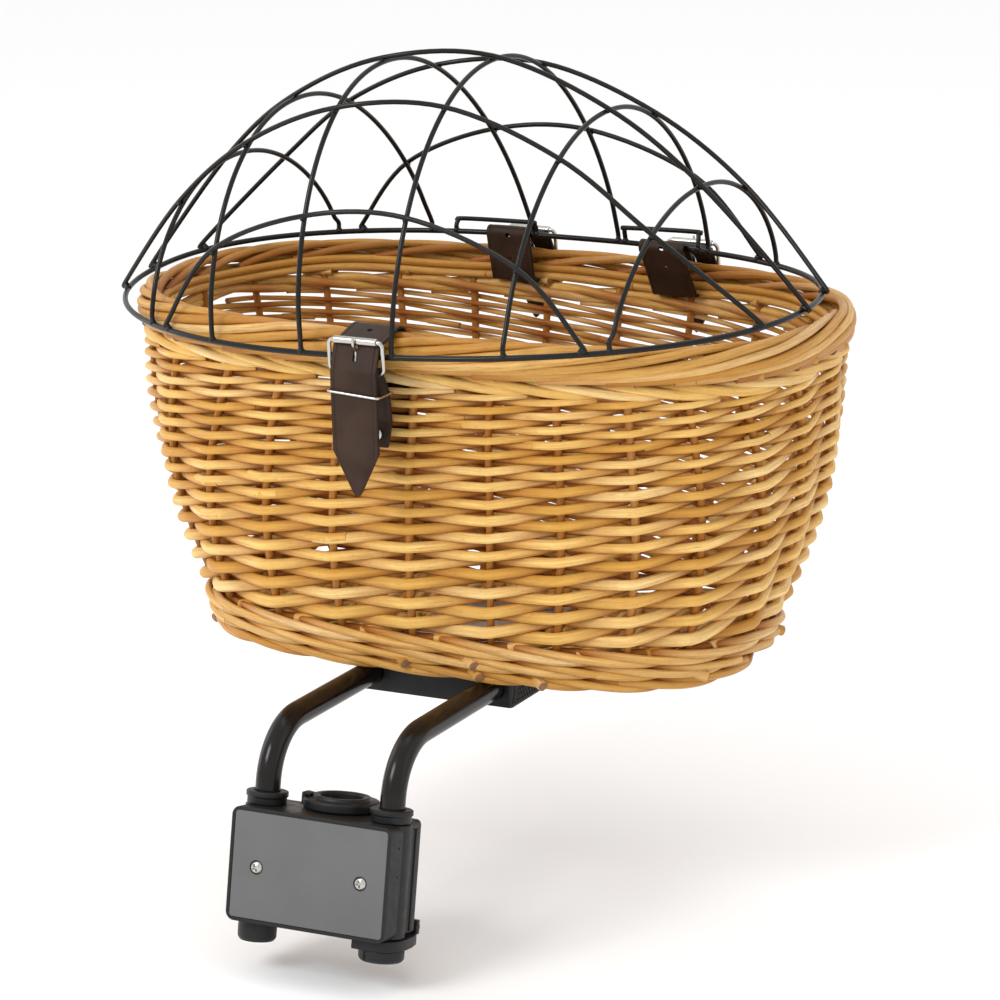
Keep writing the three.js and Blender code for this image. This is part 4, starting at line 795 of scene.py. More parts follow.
def waling(rods, row, z_middle, bulge, size, shade=0.0):
    """A row of three rods, each before two stakes and behind the third, leaning down as it goes."""
    for strand in range(3):
        start = rng.uniform(0, STAKES)
        stake = np.arange(start, start + STAKES + WALE_OVERLAP, 1 / SAMPLES)
        turn = (stake - strand - row) % 3
        front = smoothed(np.interp(turn, WALE_TURNS, WALE_FRONT_SHARES))
        lean = smoothed(np.interp(turn, WALE_LEAN_TURNS, WALE_LEAN_SHARES))
        radius = size * rng.uniform(*STRAND_SHARES) * (1 + wander(len(stake), *STRAND_WAVE))
        reach = STAKE_RADIUS + size - STAKE_SINK
        out = bulge - (reach + size) + reach * front
        z = z_middle + size * LEAN_SHARE * lean
        rods.add(on_wall(stake, z, out), radius, tone=rng.random(), depth=front - shade)


def foot_rows(rods):
    height = (WEAVE_FOOT + BASKET_DEPTH + FOOT_OVERLAP) / FOOT_ROWS
    for row in range(FOOT_ROWS):
        middle = -BASKET_DEPTH + height * (row + 0.5)
        bulge = FOOT_BULGE * math.sin(math.pi * (row + 0.5) / FOOT_ROWS)
        waling(rods, row, middle, bulge, FOOT_ROD, FOOT_SHADE)


BUTT_STAKES = [2.97, 3.87, 3.94, 4.88, 7.2, 9.6, 12.3, 14.7, 17.1, 19.8, 22.4, 24.1]
BUTT_LEVELS = [-0.2655, -0.2600, -0.2695, -0.2715]
BUTT_ROD = 0.0042
BUTT_REACH = 0.0030
BORDER_BUTT_LEVEL = -0.0285
BORDER_BUTT_DRIFT = 0.0015
BORDER_BUTT_STAKE = 0.2      # stakes on from each stake
BORDER_BUTT_ROD = 0.0031
BORDER_BUTT_REACH = 0.0022
BUTT_SAMPLES = 12
SHALLOW = 0.1
# way of a cut end: stakes before its face, then out from the wall's outer face, and how high it starts
BUTT_WAY = [-0.34, -0.2, 0]
BUTT_OUT = [-0.012, -0.008]
BUTT_RISE = 0.002


def cut_end(rods, stake, level, radius, reach):
    """A rod's thick end that comes out between two rows, its cut face to the front."""
    way = np.linspace(BUTT_WAY[0], 0, BUTT_SAMPLES)
    out = np.interp(way, BUTT_WAY, [*BUTT_OUT, reach])
    z = level + np.interp(way, [BUTT_WAY[0], 0], [BUTT_RISE, 0])
    rods.add(on_wall(stake + way, z, out), radius, tone=rng.random(), depth=np.full(BUTT_SAMPLES, SHALLOW))


def rod_butts(rods):
    for k, stake in enumerate(BUTT_STAKES):
        cut_end(rods, stake, BUTT_LEVELS[k % len(BUTT_LEVELS)], BUTT_ROD, BUTT_REACH)
    for k in range(STAKES):
        level = BORDER_BUTT_LEVEL + rng.uniform(-BORDER_BUTT_DRIFT, BORDER_BUTT_DRIFT)
        stake = k + BORDER_BUTT_STAKE + rng.uniform(-BORDER_BUTT_STAKE / 2, BORDER_BUTT_STAKE / 2)
        cut_end(rods, stake, level, BORDER_BUTT_ROD, BORDER_BUTT_REACH)


BORDER_ROD = 0.0038
# way of a border rod: stakes passed, then out from the border's middle line and up, as shares of its radius
BORDER_STEPS = [-0.12, 1.2, 2.4, 3.4, 4.2, 4.9, 5.6, 6.3]
BORDER_OUT_SHARES = [0.34, 0.44, 0.60, 0.58, 0.24, -0.24, -0.60, -0.64]
BORDER_UP_SHARES = [-1.72, -1.40, -0.82, -0.06, 0.52, 0.56, 0.12, -0.7]
BORDER_STEP = 0.3
BORDER_DRIFT = 0.08
BORDER_SHARE = 1.04
BORDER_TAPER_SHARE = 0.22
# depths read by the willow's painted shade: stakes are drawn as deep, and each border rod darkest at its
# tucked ends
STAKE_DEPTH = -0.5
BORDER_WAY_SHARES = [0, 0.12, 0.35, 0.75, 1]
BORDER_SHADES = [-0.6, -0.1, 0.3, 0.0, -0.9]
INNER_ROD = 0.0033
INNER_LEVELS = [-0.0185, -0.0250]
INNER_OUT = -0.0085
INNER_WAVE = 0.0012
INNER_START = 3.3         # stakes from one inner rod's start to the next one's
INNER_OVERLAP = 1.5
STAKE_SAMPLES = 34
STAKE_FOOT = -BASKET_DEPTH + 0.003
STAKE_TOP = -0.020


def stakes_and_border(rods):
    """Upright stakes, and rods that each start at one and are laid over into the border."""
    for k in range(STAKES):
        heights = np.linspace(STAKE_FOOT, STAKE_TOP, STAKE_SAMPLES)
        row = np.minimum((heights + BASKET_DEPTH) / BASKET_DEPTH * ROWS, ROWS)
        half_pitch = 0.5 * (row_level(row + 1) - row_level(row))
        middle = -(STAKE_RADIUS + 2 * half_pitch - STAKE_SINK)
        upright = on_wall(k + wander(STAKE_SAMPLES, *STAKE_WAVE), heights, middle)
        rods.add(upright, STAKE_RADIUS * rng.uniform(*STAKE_SHARES), tone=rng.random(),
                 depth=np.full(STAKE_SAMPLES, STAKE_DEPTH))
        stretch = rng.uniform(*STRETCH_SHARES)
        steps = np.arange(BORDER_STEPS[0], BORDER_STEPS[-1], BORDER_STEP)
        out = BORDER_RADIUS * np.interp(steps, BORDER_STEPS, BORDER_OUT_SHARES)
        up = BORDER_RADIUS * np.interp(steps, BORDER_STEPS, BORDER_UP_SHARES)
        start = k + rng.uniform(-BORDER_DRIFT, BORDER_DRIFT)
        path = smooth(on_rim(start + steps * stretch, out, up), per_span=4)
        progress = np.linspace(0, 1, len(path))
        radius = BORDER_ROD * rng.uniform(*BORDER_ROD_SHARES)
        radius = radius * (BORDER_SHARE - BORDER_TAPER_SHARE * progress)
        radius = radius * (1 + wander(len(path), *BORDER_WAVE))
        shade = np.interp(progress, BORDER_WAY_SHARES, BORDER_SHADES)
        rods.add(path, radius, tone=rng.random(), depth=shade, start=np.array([0, 0, 1.0]))
    for k, level in enumerate(INNER_LEVELS):
        stake = np.arange(INNER_START * k, STAKES + INNER_START * k + INNER_OVERLAP, 1 / SAMPLES)
        wave = INNER_WAVE * np.sin(2 * math.pi * stake / 3)
        path = on_rim(stake, INNER_OUT + wave, BORDER_DROP + level + wave)
        rods.add(path, INNER_ROD, tone=rng.random(), depth=np.full(len(stake), SHALLOW))


FLOOR_STICKS = 9
FLOOR_PITCH = 0.0058
FLOOR_LIFT = 0.0062
FLOOR_ROD = 0.0027
FLOOR_SWING = 0.0028
FLOOR_INSET = 0.012
STICK_SAMPLES = 40
FLOOR_SAMPLES = 16


def basket_floor(rods):
    """Long sticks under and over, with rods woven across them."""
    top = TUB.z - BASKET_DEPTH + FLOOR_LIFT
    half_length, half_width, power = wall_outline(-BASKET_DEPTH)
    half_length, half_width = half_length - FLOOR_INSET, half_width - FLOOR_INSET
    spacing = 2 * half_width / FLOOR_STICKS
    for k in range(FLOOR_STICKS):
        y = (k - (FLOOR_STICKS - 1) / 2) * spacing
        reach = oval_width_at(half_width, half_length, power, y)
        x = np.linspace(-reach, reach, STICK_SAMPLES)
        path = np.stack([x, np.full(STICK_SAMPLES, y + TUB.y), np.full(STICK_SAMPLES, top)], axis=-1)
        rods.add(path, STAKE_RADIUS, tone=rng.random(), depth=np.full(STICK_SAMPLES, -SHALLOW))
    count = int(2 * half_length / FLOOR_PITCH)
    for k in range(count):
        x = (k - (count - 1) / 2) * FLOOR_PITCH
        reach = oval_width_at(half_length, half_width, power, x)
        y = np.linspace(-reach, reach, max(8, int(reach / spacing * FLOOR_SAMPLES)))
        swing = np.cos(math.pi * (y / spacing + k))
        path = np.stack([np.full(len(y), x), y + TUB.y, top + FLOOR_SWING * swing], axis=-1)
        radius = FLOOR_ROD * rng.uniform(*FLOOR_ROD_SHARES)
        rods.add(path, radius, sides=8, tone=rng.random(), depth=swing * 0.5)


def build_basket():
    wall = Rods()
    randing(wall)
    foot_rows(wall)
    waling(wall, 1, TOP_ROW, 0.0, TOP_ROD)
    rod_butts(wall)
    wall.piece("woven_wall", "willow", "carrier", "basket_wall")
    border = Rods()
    stakes_and_border(border)
    border.piece("stakes_and_border", "willow", "carrier", "basket_border")
    floor = Rods()
    basket_floor(floor)
    floor.piece("woven_floor", "willow", "carrier", "basket_base")


# Lid
LID_HALF_LENGTH = 0.284
LID_HALF_WIDTH = 0.176
LID_ROUNDNESS = 2.22
LID_PLACE = Vector((-0.0099, -0.0274, 0.0000766))
LID_DEGREES = (5, -2.1, -4.1)
RING_END_LIFT = 0.0023
RING_CORNER_LIFT = 0.0026
RING_WIRE = 0.0022
DOME_WIRE = 0.0019
DOME_HEIGHT = 0.183
RIB_SKEW = 0.003
RIB_PLACE_SHARES = [-0.694, -0.44, -0.137, 0.137, 0.44, 0.694]
RIB_HEIGHT_SHARES = [0.541, 0.82, 1, 0.989, 0.776, 0.475]
RIB_LEAN_SHARES = [-0.034, -0.108, -0.159, 0, 0.074, 0.085]
RIB_WIDTH_POWER = 2.08
RIB_HEIGHT_POWER = 1.49
ARCH_OFFSET_SHARES = [-0.795, -0.426, 0, 0.426, 0.795]
ARCH_END_SHARES = [0.623, 0.963, 1, 0.963, 0.623]
BAIL_PLACE_SHARES = [-0.241, 0.288]
BAIL_WIDTH_SHARE = 0.245
BAIL_RISE = 0.010
BAIL_CORNER = 0.005
FOOT_STUB = 0.005
WIRE_LIFT = RING_WIRE + 0.4 * DOME_WIRE      # a dome wire's foot is sunk a little into the ring
ARCH_LIFT = 1.75 * DOME_WIRE                 # and an arch a little into the ribs that it crosses
RIB_SAMPLES = 24
HOOP_SAMPLES = 240
NEARBY = 0.01
FOOT_WELD = 0.0029
BAIL_WELD = 0.0028
CROSSING_WELD = 0.0022
LENGTHWAYS, CROSSWAYS = (1, 0, 0), (0, 1, 0)
LID_MATRIX = np.array(Matrix.Translation(TUB + LID_PLACE) @ spun(LID_DEGREES[2], "Z")
                      @ spun(LID_DEGREES[1], "Y") @ spun(LID_DEGREES[0], "X"))


def from_lid(points):
    points = np.atleast_2d(points)
    return points @ LID_MATRIX[:3, :3].T + LID_MATRIX[:3, 3]


def ring_level(x, y):
    turn = np.arctan2(y / LID_HALF_WIDTH, x / LID_HALF_LENGTH)
    return RING_END_LIFT * np.cos(2 * turn) - RING_CORNER_LIFT * np.sin(2 * turn)


def lid_width_at(x):
    return oval_width_at(LID_HALF_LENGTH, LID_HALF_WIDTH, LID_ROUNDNESS, x)


BAIL_Y = lid_width_at(BAIL_PLACE_SHARES[1] * LID_HALF_LENGTH)


def rib_point(rib, width_share):
    x = RIB_PLACE_SHARES[rib] * LID_HALF_LENGTH + RIB_SKEW * width_share / 2
    rise = max(0.0, 1 - abs(width_share) ** RIB_WIDTH_POWER) ** (1 / RIB_HEIGHT_POWER)
    y = lid_width_at(x) * width_share + RIB_LEAN_SHARES[rib] * LID_HALF_WIDTH * rise
    return np.array([x, y, DOME_HEIGHT * RIB_HEIGHT_SHARES[rib] * rise])


def on_ring(x, side, lift):
    y = side * lid_width_at(x)
    return np.array([x, y, float(ring_level(x, y)) + lift])


def rib_path(rib):
    place = RIB_PLACE_SHARES[rib] * LID_HALF_LENGTH
    points = []
    for i in range(1, RIB_SAMPLES):
        angle = math.pi * (i / RIB_SAMPLES - 0.5)
        share = math.copysign(abs(math.sin(angle)) ** (2 / RIB_WIDTH_POWER), math.sin(angle))
        point = rib_point(rib, share)
        if point[2] > RING_WIRE + 2 * FOOT_STUB:
            points.append(point)
    stub = np.array([0, 0, FOOT_STUB])
    front = on_ring(place - RIB_SKEW / 2, -1, WIRE_LIFT)
    rear = on_ring(place + RIB_SKEW / 2, 1, WIRE_LIFT)
    return [front, front + stub, *points, rear + stub, rear]


def arch_path(arch):
    """An arch's way over the ribs, and the places where it crosses them."""
    offset = ARCH_OFFSET_SHARES[arch] * LID_HALF_WIDTH
    end = ARCH_END_SHARES[arch] * LID_HALF_LENGTH
    side = np.sign(offset)
    crossings, slopes = [], []
    for rib, place_share in enumerate(RIB_PLACE_SHARES):
        place = place_share * LID_HALF_LENGTH
        if abs(place) > end - FOOT_STUB:
            continue
        share = offset / lid_width_at(place)
        crossings.append(rib_point(rib, share))
        slopes.append(unit(rib_point(rib, share + NEARBY) - rib_point(rib, share - NEARBY)))
    left, right = on_ring(-end, side, WIRE_LIFT), on_ring(end, side, WIRE_LIFT)
    bare = [left, *crossings, right]
    lifted = []
    for i, (point, slope) in enumerate(zip(crossings, slopes)):
        normal = unit(np.cross(slope, unit(bare[i + 2] - bare[i])))
        lifted.append(point + (normal if normal[2] > 0 else -normal) * ARCH_LIFT)
    stub = np.array([0, 0, FOOT_STUB])
    return [left, left + stub, *lifted, right + stub, right], lifted


def bail_path(share):
    """Up from the ring, along above it and down again."""
    points = []
    for side in (-1, 1):
        x = share * LID_HALF_LENGTH + side * BAIL_WIDTH_SHARE * LID_HALF_LENGTH / 2
        foot = on_ring(x, 1, WIRE_LIFT)
        inner = BAIL_CORNER / 3
        corner = [
            foot,
            foot + np.array([0, 0, inner]),
            np.array([x - side * inner / 2, (foot[1] + BAIL_Y) / 2, BAIL_RISE - inner]),
            np.array([x - side * BAIL_CORNER, BAIL_Y, BAIL_RISE]),
        ]
        points += corner if side < 0 else corner[::-1]
    return points


def weld(rods, place, size, along):
    """A small bead of weld under a wire, at a place in the lid's own frame."""
    middle = from_lid(place - np.array([0, 0, DOME_WIRE]))
    steps = np.linspace(-1, 1, 9)[:, None]
    path = middle + np.array(along)[None, :] * steps * size
    rods.add(path, size * np.sqrt(np.clip(1.02 - steps[:, 0] ** 2, 0.04, None)))


def build_lid():
    turn = np.linspace(0, 2 * math.pi, HOOP_SAMPLES, endpoint=False)
    p = oval(LID_HALF_LENGTH, LID_HALF_WIDTH, LID_ROUNDNESS, turn)
    hoop = from_lid(np.stack([p[:, 0], p[:, 1], ring_level(p[:, 0], p[:, 1])], axis=-1))
    Rods().add(hoop, RING_WIRE, sides=16, closed=True).piece("lid_hoop", "dome_wire", "lid", "lid_ring")
    wires = [(f"dome_rib_{k + 1}", f"lid_rib_{k + 1}", rib_path(k), [], 6, FOOT_WELD, LENGTHWAYS)
             for k in range(len(RIB_PLACE_SHARES))]
    wires += [(f"dome_arch_{k + 1}", f"lid_arch_{k + 1}", *arch_path(k), 9, FOOT_WELD, CROSSWAYS)
              for k in range(len(ARCH_OFFSET_SHARES))]
    wires += [(f"hinge_loop_{name}", f"hinge_bail_{name}", bail_path(share), [], 6, BAIL_WELD, LENGTHWAYS)
              for share, name in zip(BAIL_PLACE_SHARES, ("left", "right"))]
    welds = Rods()
    for name, node, points, crossings, per_span, foot_weld, along in wires:
        wire = Rods().add(from_lid(smooth(points, per_span)), DOME_WIRE, sides=14)
        wire.piece(name, "dome_wire", "lid", node)
        for foot in (points[0], points[-1]):
            weld(welds, foot, foot_weld, along)
        for place in crossings:
            weld(welds, place, CROSSING_WELD, along)
    welds.piece("lid_welds", "dome_wire", "lid")


# Leather straps, followed in side view: out from the basket, and up from the rim
STRAP_WIDTH = 0.038
STRAP_THICKNESS = 0.0025
STRAP_STEP = 0.0012
STRAP_BEND_DEGREES = 6
STRAP_HALF = STRAP_THICKNESS / 2
LAYER = STRAP_THICKNESS + GAP
SECTION_ACROSS = [-1, -0.985, -0.95, -0.86, -0.82, -0.78, -0.4, 0, 0.4, 0.78, 0.82, 0.86, 0.95, 0.985, 1]
SECTION_HEIGHT_SHARES = [0.25, 0.8, 1, 1, 0.8, 1, 1, 1, 1, 1, 0.8, 1, 1, 0.8, 0.25]
TIP_STEPS = [0, 0.0006, 0.0012, 0.0018, 0.0028]
TIP_DISTANCES = [0, 0.0006, 0.0018, 0.004, 0.034]
TIP_HALF_WIDTHS = [0.0006, 0.0014, 0.0026, 0.0040, STRAP_WIDTH / 2]
WAVE_HEIGHT = 0.00035
WAVES_ALONG, WAVES_ACROSS = 95, 1.4
WAVE_START = 0.01
BUCKLE_WIDTH = 0.0435
BUCKLE_WIRE = 0.0016
BUCKLE_CORNER = 0.004
ROLLER_RADIUS = 0.0029
PRONG_RADIUS = 0.0012
SLOT_WIDTH = 0.0034
HOLE_RADIUS = 0.0022
HOLE_SPACING = 0.020
HINGE_TURN = BUCKLE_WIRE + GAP + STRAP_HALF
ROLLER_TURN = ROLLER_RADIUS + GAP + STRAP_HALF
FRONT_STRAP_X = -0.011
REAR_STRAP_X = [-0.055, 0.0875]


def strap_path(stops):
    """A strap's middle line laid round discs: each stop is out, up, radius and turn."""
    signed = [radius * turn for _, _, radius, turn in stops]
    lines = []
    for i in range(len(stops) - 1):
        run, rise = stops[i + 1][0] - stops[i][0], stops[i + 1][1] - stops[i][1]
        lines.append(math.atan2(rise, run) - math.asin((signed[i + 1] - signed[i]) / math.hypot(run, rise)))
    points = []
    for i, (out, up, _, turn) in enumerate(stops):
        before, after = lines[max(i - 1, 0)], lines[min(i, len(lines) - 1)]
        if not signed[i]:
            points.append((out, up))
            continue
        sweep = math.remainder(after - before, 2 * math.pi)
        angles = [before + sweep / 2]
        if sweep * turn > 0 or abs(sweep) >= math.pi / 2:
            sweep += turn * 2 * math.pi if sweep * turn < 0 else 0
            steps = max(1, math.ceil(abs(sweep) / math.radians(STRAP_BEND_DEGREES)))
            angles = [before + sweep * k / steps for k in range(steps + 1)]
        points += [(out + signed[i] * math.sin(a), up - signed[i] * math.cos(a)) for a in angles]
    points = np.array(points)
    way = np.concatenate([[0], np.cumsum(np.hypot(*np.diff(points, axis=0).T))])
    even = np.linspace(TIP_DISTANCES[3], way[-1], max(8, int(way[-1] / STRAP_STEP)))
    even = np.concatenate([TIP_STEPS, even])
    return np.stack([np.interp(even, way, points[:, k]) for k in (0, 1)], axis=-1), even


def in_row(x, side, out, up):
    """A place in the row frame from one in side view, on the front side (-1) or the rear one (1)."""
    across = np.broadcast_to(x, np.shape(out))
    return np.stack([across, TUB.y + side * np.asarray(out), TUB.z + np.asarray(up)], -1)


def strap(name, stops, x, side, tip=False, flat_end=0, foot_half=STRAP_WIDTH / 2):
    """A strap's mesh: edges rounded, a pressed line along each, and a tapered tip if it has one."""
    path, way = strap_path(stops)
    slope = tangents(path, False)
    normal = np.stack([-slope[:, 1], slope[:, 0]], axis=-1)
    half = np.full(len(path), STRAP_WIDTH / 2)
    if tip:
        half = np.interp(way, TIP_DISTANCES, TIP_HALF_WIDTHS)
    if foot_half < STRAP_WIDTH / 2:
        half = np.interp(way, [0, way[-1] / 2], [foot_half, STRAP_WIDTH / 2])
    across = np.array(SECTION_ACROSS + SECTION_ACROSS[::-1])
    height = STRAP_HALF * np.array(SECTION_HEIGHT_SHARES + [-share for share in SECTION_HEIGHT_SHARES[::-1]])
    wave = WAVE_HEIGHT * np.sin(way[:, None] * WAVES_ALONG + across[None, :] * WAVES_ACROSS)
    if flat_end:
        wave = wave * np.clip((way[:, None] - flat_end) / WAVE_START, 0, 1)
    rise = height[None, :] + wave
    out = path[:, 0][:, None] + normal[:, 0][:, None] * rise
    up = path[:, 1][:, None] + normal[:, 1][:, None] * rise
    points = in_row(x + half[:, None] * across[None, :], side, out, up)
    count, width = rise.shape
    ends = [list(range(width))[::-1], list(range((count - 1) * width, count * width))]
    return shell(name, points, ends + between_rows(count, width, False))


def punched(name, mesh, x, side, holes, slots):
    """Round holes at places in side view, each with its direction, and slots for a prong."""
    cutters = []
    for out, up, tilt in holes:
        turn = moved(*in_row(x, side, out, up)) @ Matrix.Rotation(side * tilt, 4, "X") @ spun(90, "X")
        cutters.append(punch(HOLE_RADIUS, 5 * STRAP_THICKNESS, turn, segments=24))
    for (out_low, out_high), (up_low, up_high) in slots:
        outline = rectangle(SLOT_WIDTH, up_high - up_low, SLOT_WIDTH / 2 - GAP)
        turn = moved(*in_row(x, side, 0, (up_low + up_high) / 2)) @ spun(90, "X")
        reach = sorted((-side * out_low, -side * out_high))
        cutters.append(slab("slot", outline, *reach, matrix=turn))
    result = carve(name, mesh, cutters)
    across = np.zeros(3 * len(result.vertices))
    result.vertices.foreach_get("co", across)
    set_values(result, "across", (across[::3] - x) / (STRAP_WIDTH / 2))
    return soften(result, degrees=40)


def along_strap(stops, distance):
    """Place and tilt on a strap at a distance from its tail's tip."""
    path, way = strap_path(stops)
    out, up = (float(np.interp(distance, way, path[:, k])) for k in (0, 1))
    ahead = [float(np.interp(distance + STRAP_STEP, way, path[:, k])) for k in (0, 1)]
    return out, up, math.atan2(ahead[1] - up, ahead[0] - out) - math.pi / 2


ROLLER_SHOULDER = 0.9 * ROLLER_RADIUS
ROLLER_SEAM = 0.93 * ROLLER_RADIUS
PRONG_EYE = BUCKLE_WIRE + GAP + 0.75 * PRONG_RADIUS
PRONG_EYE_DEGREES = range(-250, 40, 29)
# the prong's way from its eye: share of the height to the roller, and how far ahead of the frame
PRONG_WAY = [(0.32, 0.0016), (0.5, 0.0004), (0.66, 0.0002), (0.8, 0.0022), (0.9, 0.0038)]
PRONG_OVER = ROLLER_RADIUS + PRONG_RADIUS + GAP
PRONG_TIP_SHARES = [(1.0, 1), (1.07, 1.02), (1.14, 0.96)]
PRONG_WAY_SHARES = [0, 0.05, 0.9, 1]
PRONG_TAPER_SHARES = [0.7, 0.85, 1, 0.7]


def buckle(strap_name, ending, x, side, hinge, roller):
    """Wire frame, roller on its upper bar and a bent prong on its lower one."""
    rise = np.array(roller) - np.array(hinge)
    height = float(np.hypot(*rise))
    along = rise / height
    normal = np.array([along[1], -along[0]])
    name = strap_name + ending

    def place(across, up_share, ahead):
        flat = np.array(hinge) + along * up_share * height + normal * ahead
        return in_row(x + across, side, *flat)

    loop = rectangle(BUCKLE_WIDTH, height, BUCKLE_CORNER, steps=5)
    path = [place(px, py / height + 0.5, 0.0) for px, py in loop]
    wire = Rods().add(path, BUCKLE_WIRE, sides=14, closed=True)
    wire.piece(f"{name}_buckle", "nickel", "carrier", f"{strap_name}_buckle_frame{ending}")

    half = BUCKLE_WIDTH / 2 - BUCKLE_CORNER - GAP
    inner = BUCKLE_WIRE + GAP / 2
    profile = [(inner, -half), (ROLLER_SHOULDER, -half), (ROLLER_RADIUS, -half * 0.95),
               (ROLLER_RADIUS, -GAP * 2), (ROLLER_SEAM, -GAP)]
    profile += [(radius, -level) for radius, level in profile[::-1]]
    matrix = moved(*place(0, 1, 0)) @ spun(90, "Y")
    tube = lathe(f"{name}_roller", profile, matrix, EDGE["roller"], sides=40)
    piece(f"{name}_roller", tube, "nickel", f"{strap_name}_roller{ending}",
          f"{strap_name}_buckle_roller{ending}")

    points = []
    for degrees in PRONG_EYE_DEGREES:
        angle = math.radians(degrees)
        points.append(place(0, PRONG_EYE * math.sin(angle) / height, PRONG_EYE * math.cos(angle)))
    points += [place(0, up_share, ahead) for up_share, ahead in PRONG_WAY]
    points += [place(0, up_share, PRONG_OVER * share) for up_share, share in PRONG_TIP_SHARES]
    path = smooth(points, per_span=5)
    taper = np.interp(np.linspace(0, 1, len(path)), PRONG_WAY_SHARES, PRONG_TAPER_SHARES)
    prong = Rods().add(path, PRONG_RADIUS * taper, sides=14)
    prong.piece(f"{name}_prong", "nickel", f"{strap_name}_prong{ending}",
                f"{strap_name}_buckle_prong{ending}")


FRONT_TAIL = (RIM_HALF_WIDTH + 0.032, -0.121)
FRONT_HINGE = (RIM_HALF_WIDTH + 0.032, -0.0275)
FRONT_ROLLER = (RIM_HALF_WIDTH + 0.0345, -0.004)
REAR_TAIL = (RIM_HALF_WIDTH + 0.024, -0.066)
REAR_HINGE = (RIM_HALF_WIDTH + 0.017, -0.015)
REAR_ROLLER = (RIM_HALF_WIDTH + 0.0115, 0.010)
FOLD_LENGTH = 0.017
CHAPE_FOLD_LEAN = 0.005
WALL_SLACK = 0.0005
FRONT_FLAT_END = 0.085
FRONT_FIRST_HOLE = 0.1365
REAR_FIRST_HOLE = 0.122
# slots for the prongs: from and to, as shares of the rise from the buckle's hinge to its roller
FRONT_SLOT_SHARES = (0.36, 0.86)
CHAPE_SLOT_SHARES = (-0.18, 0.3)
REAR_SLOT_SHARES = (-0.2, 0.86)
SLOT_REACH = 0.010
RIVET_PIN, RIVET_DOME, RIVET_HEAD = 0.002, 0.0032, 0.005
RIVET_RISE = 0.0012
RIVET_EDGE_RISE = 0.9 * RIVET_RISE
RIVET_DROP = 0.080
CHAPE_FOOT_HALF = 0.009
END_PAST_RIVET = 0.010
WALL_THICKNESS = 0.014
SLOT_DROP = 0.027
SLOT_CORNER = 0.003
KEEPER_DROP = 0.043
KEEPER_WIRE = 0.001
KEEPER_HALF_WIDTH = 0.0205
KEEPER_SLACK = 0.0008
KEEPER_TILT = 0.06


def wall_out(x, z):
    half_length, half_width, power = wall_outline(z)
    return oval_width_at(half_length, half_width, power, x)


def ring_at(x):
    """The ring's place nearer the basket's middle, of those at the two edges of a strap."""
    found = []
    for side in (-1, 1):
        across = x - LID_PLACE.x + side * STRAP_WIDTH / 2
        y = lid_width_at(across)
        found.append(from_lid([across, y, float(ring_level(across, y))])[0])
    return min(found, key=lambda point: point[1])


FAR, NEAR = abs(FRONT_STRAP_X) + STRAP_WIDTH / 2, abs(FRONT_STRAP_X) - STRAP_WIDTH / 2
STRAP_FOOT, STRAP_KNEE = -RIVET_DROP - END_PAST_RIVET, -RIVET_DROP + END_PAST_RIVET
FRONT_STOPS = [
    (*FRONT_TAIL, 0, 0),
    (*FRONT_HINGE, HINGE_TURN + LAYER, 1),
    (*FRONT_ROLLER, ROLLER_TURN, -1),
    (RIM_HALF_WIDTH, -BORDER_DROP, BORDER_RADIUS + 3 * GAP + STRAP_HALF, 1),
    (wall_out(FAR, STRAP_FOOT) - WALL_THICKNESS - WALL_SLACK - STRAP_HALF, STRAP_FOOT, 0, 0),
]
CHAPE_STOPS = [
    (wall_out(NEAR, STRAP_FOOT) + 2 * GAP + STRAP_HALF, STRAP_FOOT, 0, 0),
    (wall_out(NEAR, STRAP_KNEE) + GAP + STRAP_HALF + STRAP_THICKNESS, STRAP_KNEE, STRAP_THICKNESS, -1),
    (*FRONT_HINGE, HINGE_TURN, -1),
    (FRONT_HINGE[0] + HINGE_TURN - CHAPE_FOLD_LEAN, FRONT_HINGE[1] - FOLD_LENGTH, 0, 0),
]


def rear_stops(x):
    ring = ring_at(x) - np.array(TUB)
    slot_middle = -SLOT_DROP + SLOT_CORNER
    outside = wall_out(abs(x) - STRAP_WIDTH / 2, -SLOT_DROP) + SLOT_CORNER / 2
    inside = wall_out(abs(x) + STRAP_WIDTH / 2, -SLOT_DROP) - WALL_THICKNESS - SLOT_CORNER
    return [
        (*REAR_TAIL, 0, 0),
        (*REAR_HINGE, HINGE_TURN + LAYER, 1),
        (*REAR_ROLLER, ROLLER_TURN, -1),
        (ring[1], ring[2], RING_WIRE + 3 * GAP + STRAP_HALF, 1),
        (inside, slot_middle, SLOT_CORNER, 1),
        (outside, slot_middle, SLOT_CORNER, 1),
        (*REAR_HINGE, HINGE_TURN, -1),
        (REAR_HINGE[0] + HINGE_TURN, REAR_HINGE[1] - FOLD_LENGTH, 0, 0),
    ]


def strands_at(stops, level):
    """How far out each strand of a strap is where it passes a level."""
    path, _ = strap_path(stops)
    found = []
    for (out_a, up_a), (out_b, up_b) in zip(path[:-1], path[1:]):
        if min(up_a, up_b) <= level < max(up_a, up_b):
            found.append(out_a + (out_b - out_a) * (level - up_a) / (up_b - up_a))
    return found


def prong_slot(hinge, roller, shares):
    levels = [hinge[1] + share * (roller[1] - hinge[1]) for share in shares]
    return (hinge[0] - SLOT_REACH, hinge[0] + SLOT_REACH), levels


def hole_distances(stops, first, count):
    return [along_strap(stops, first + k * HOLE_SPACING) for k in range(count)]


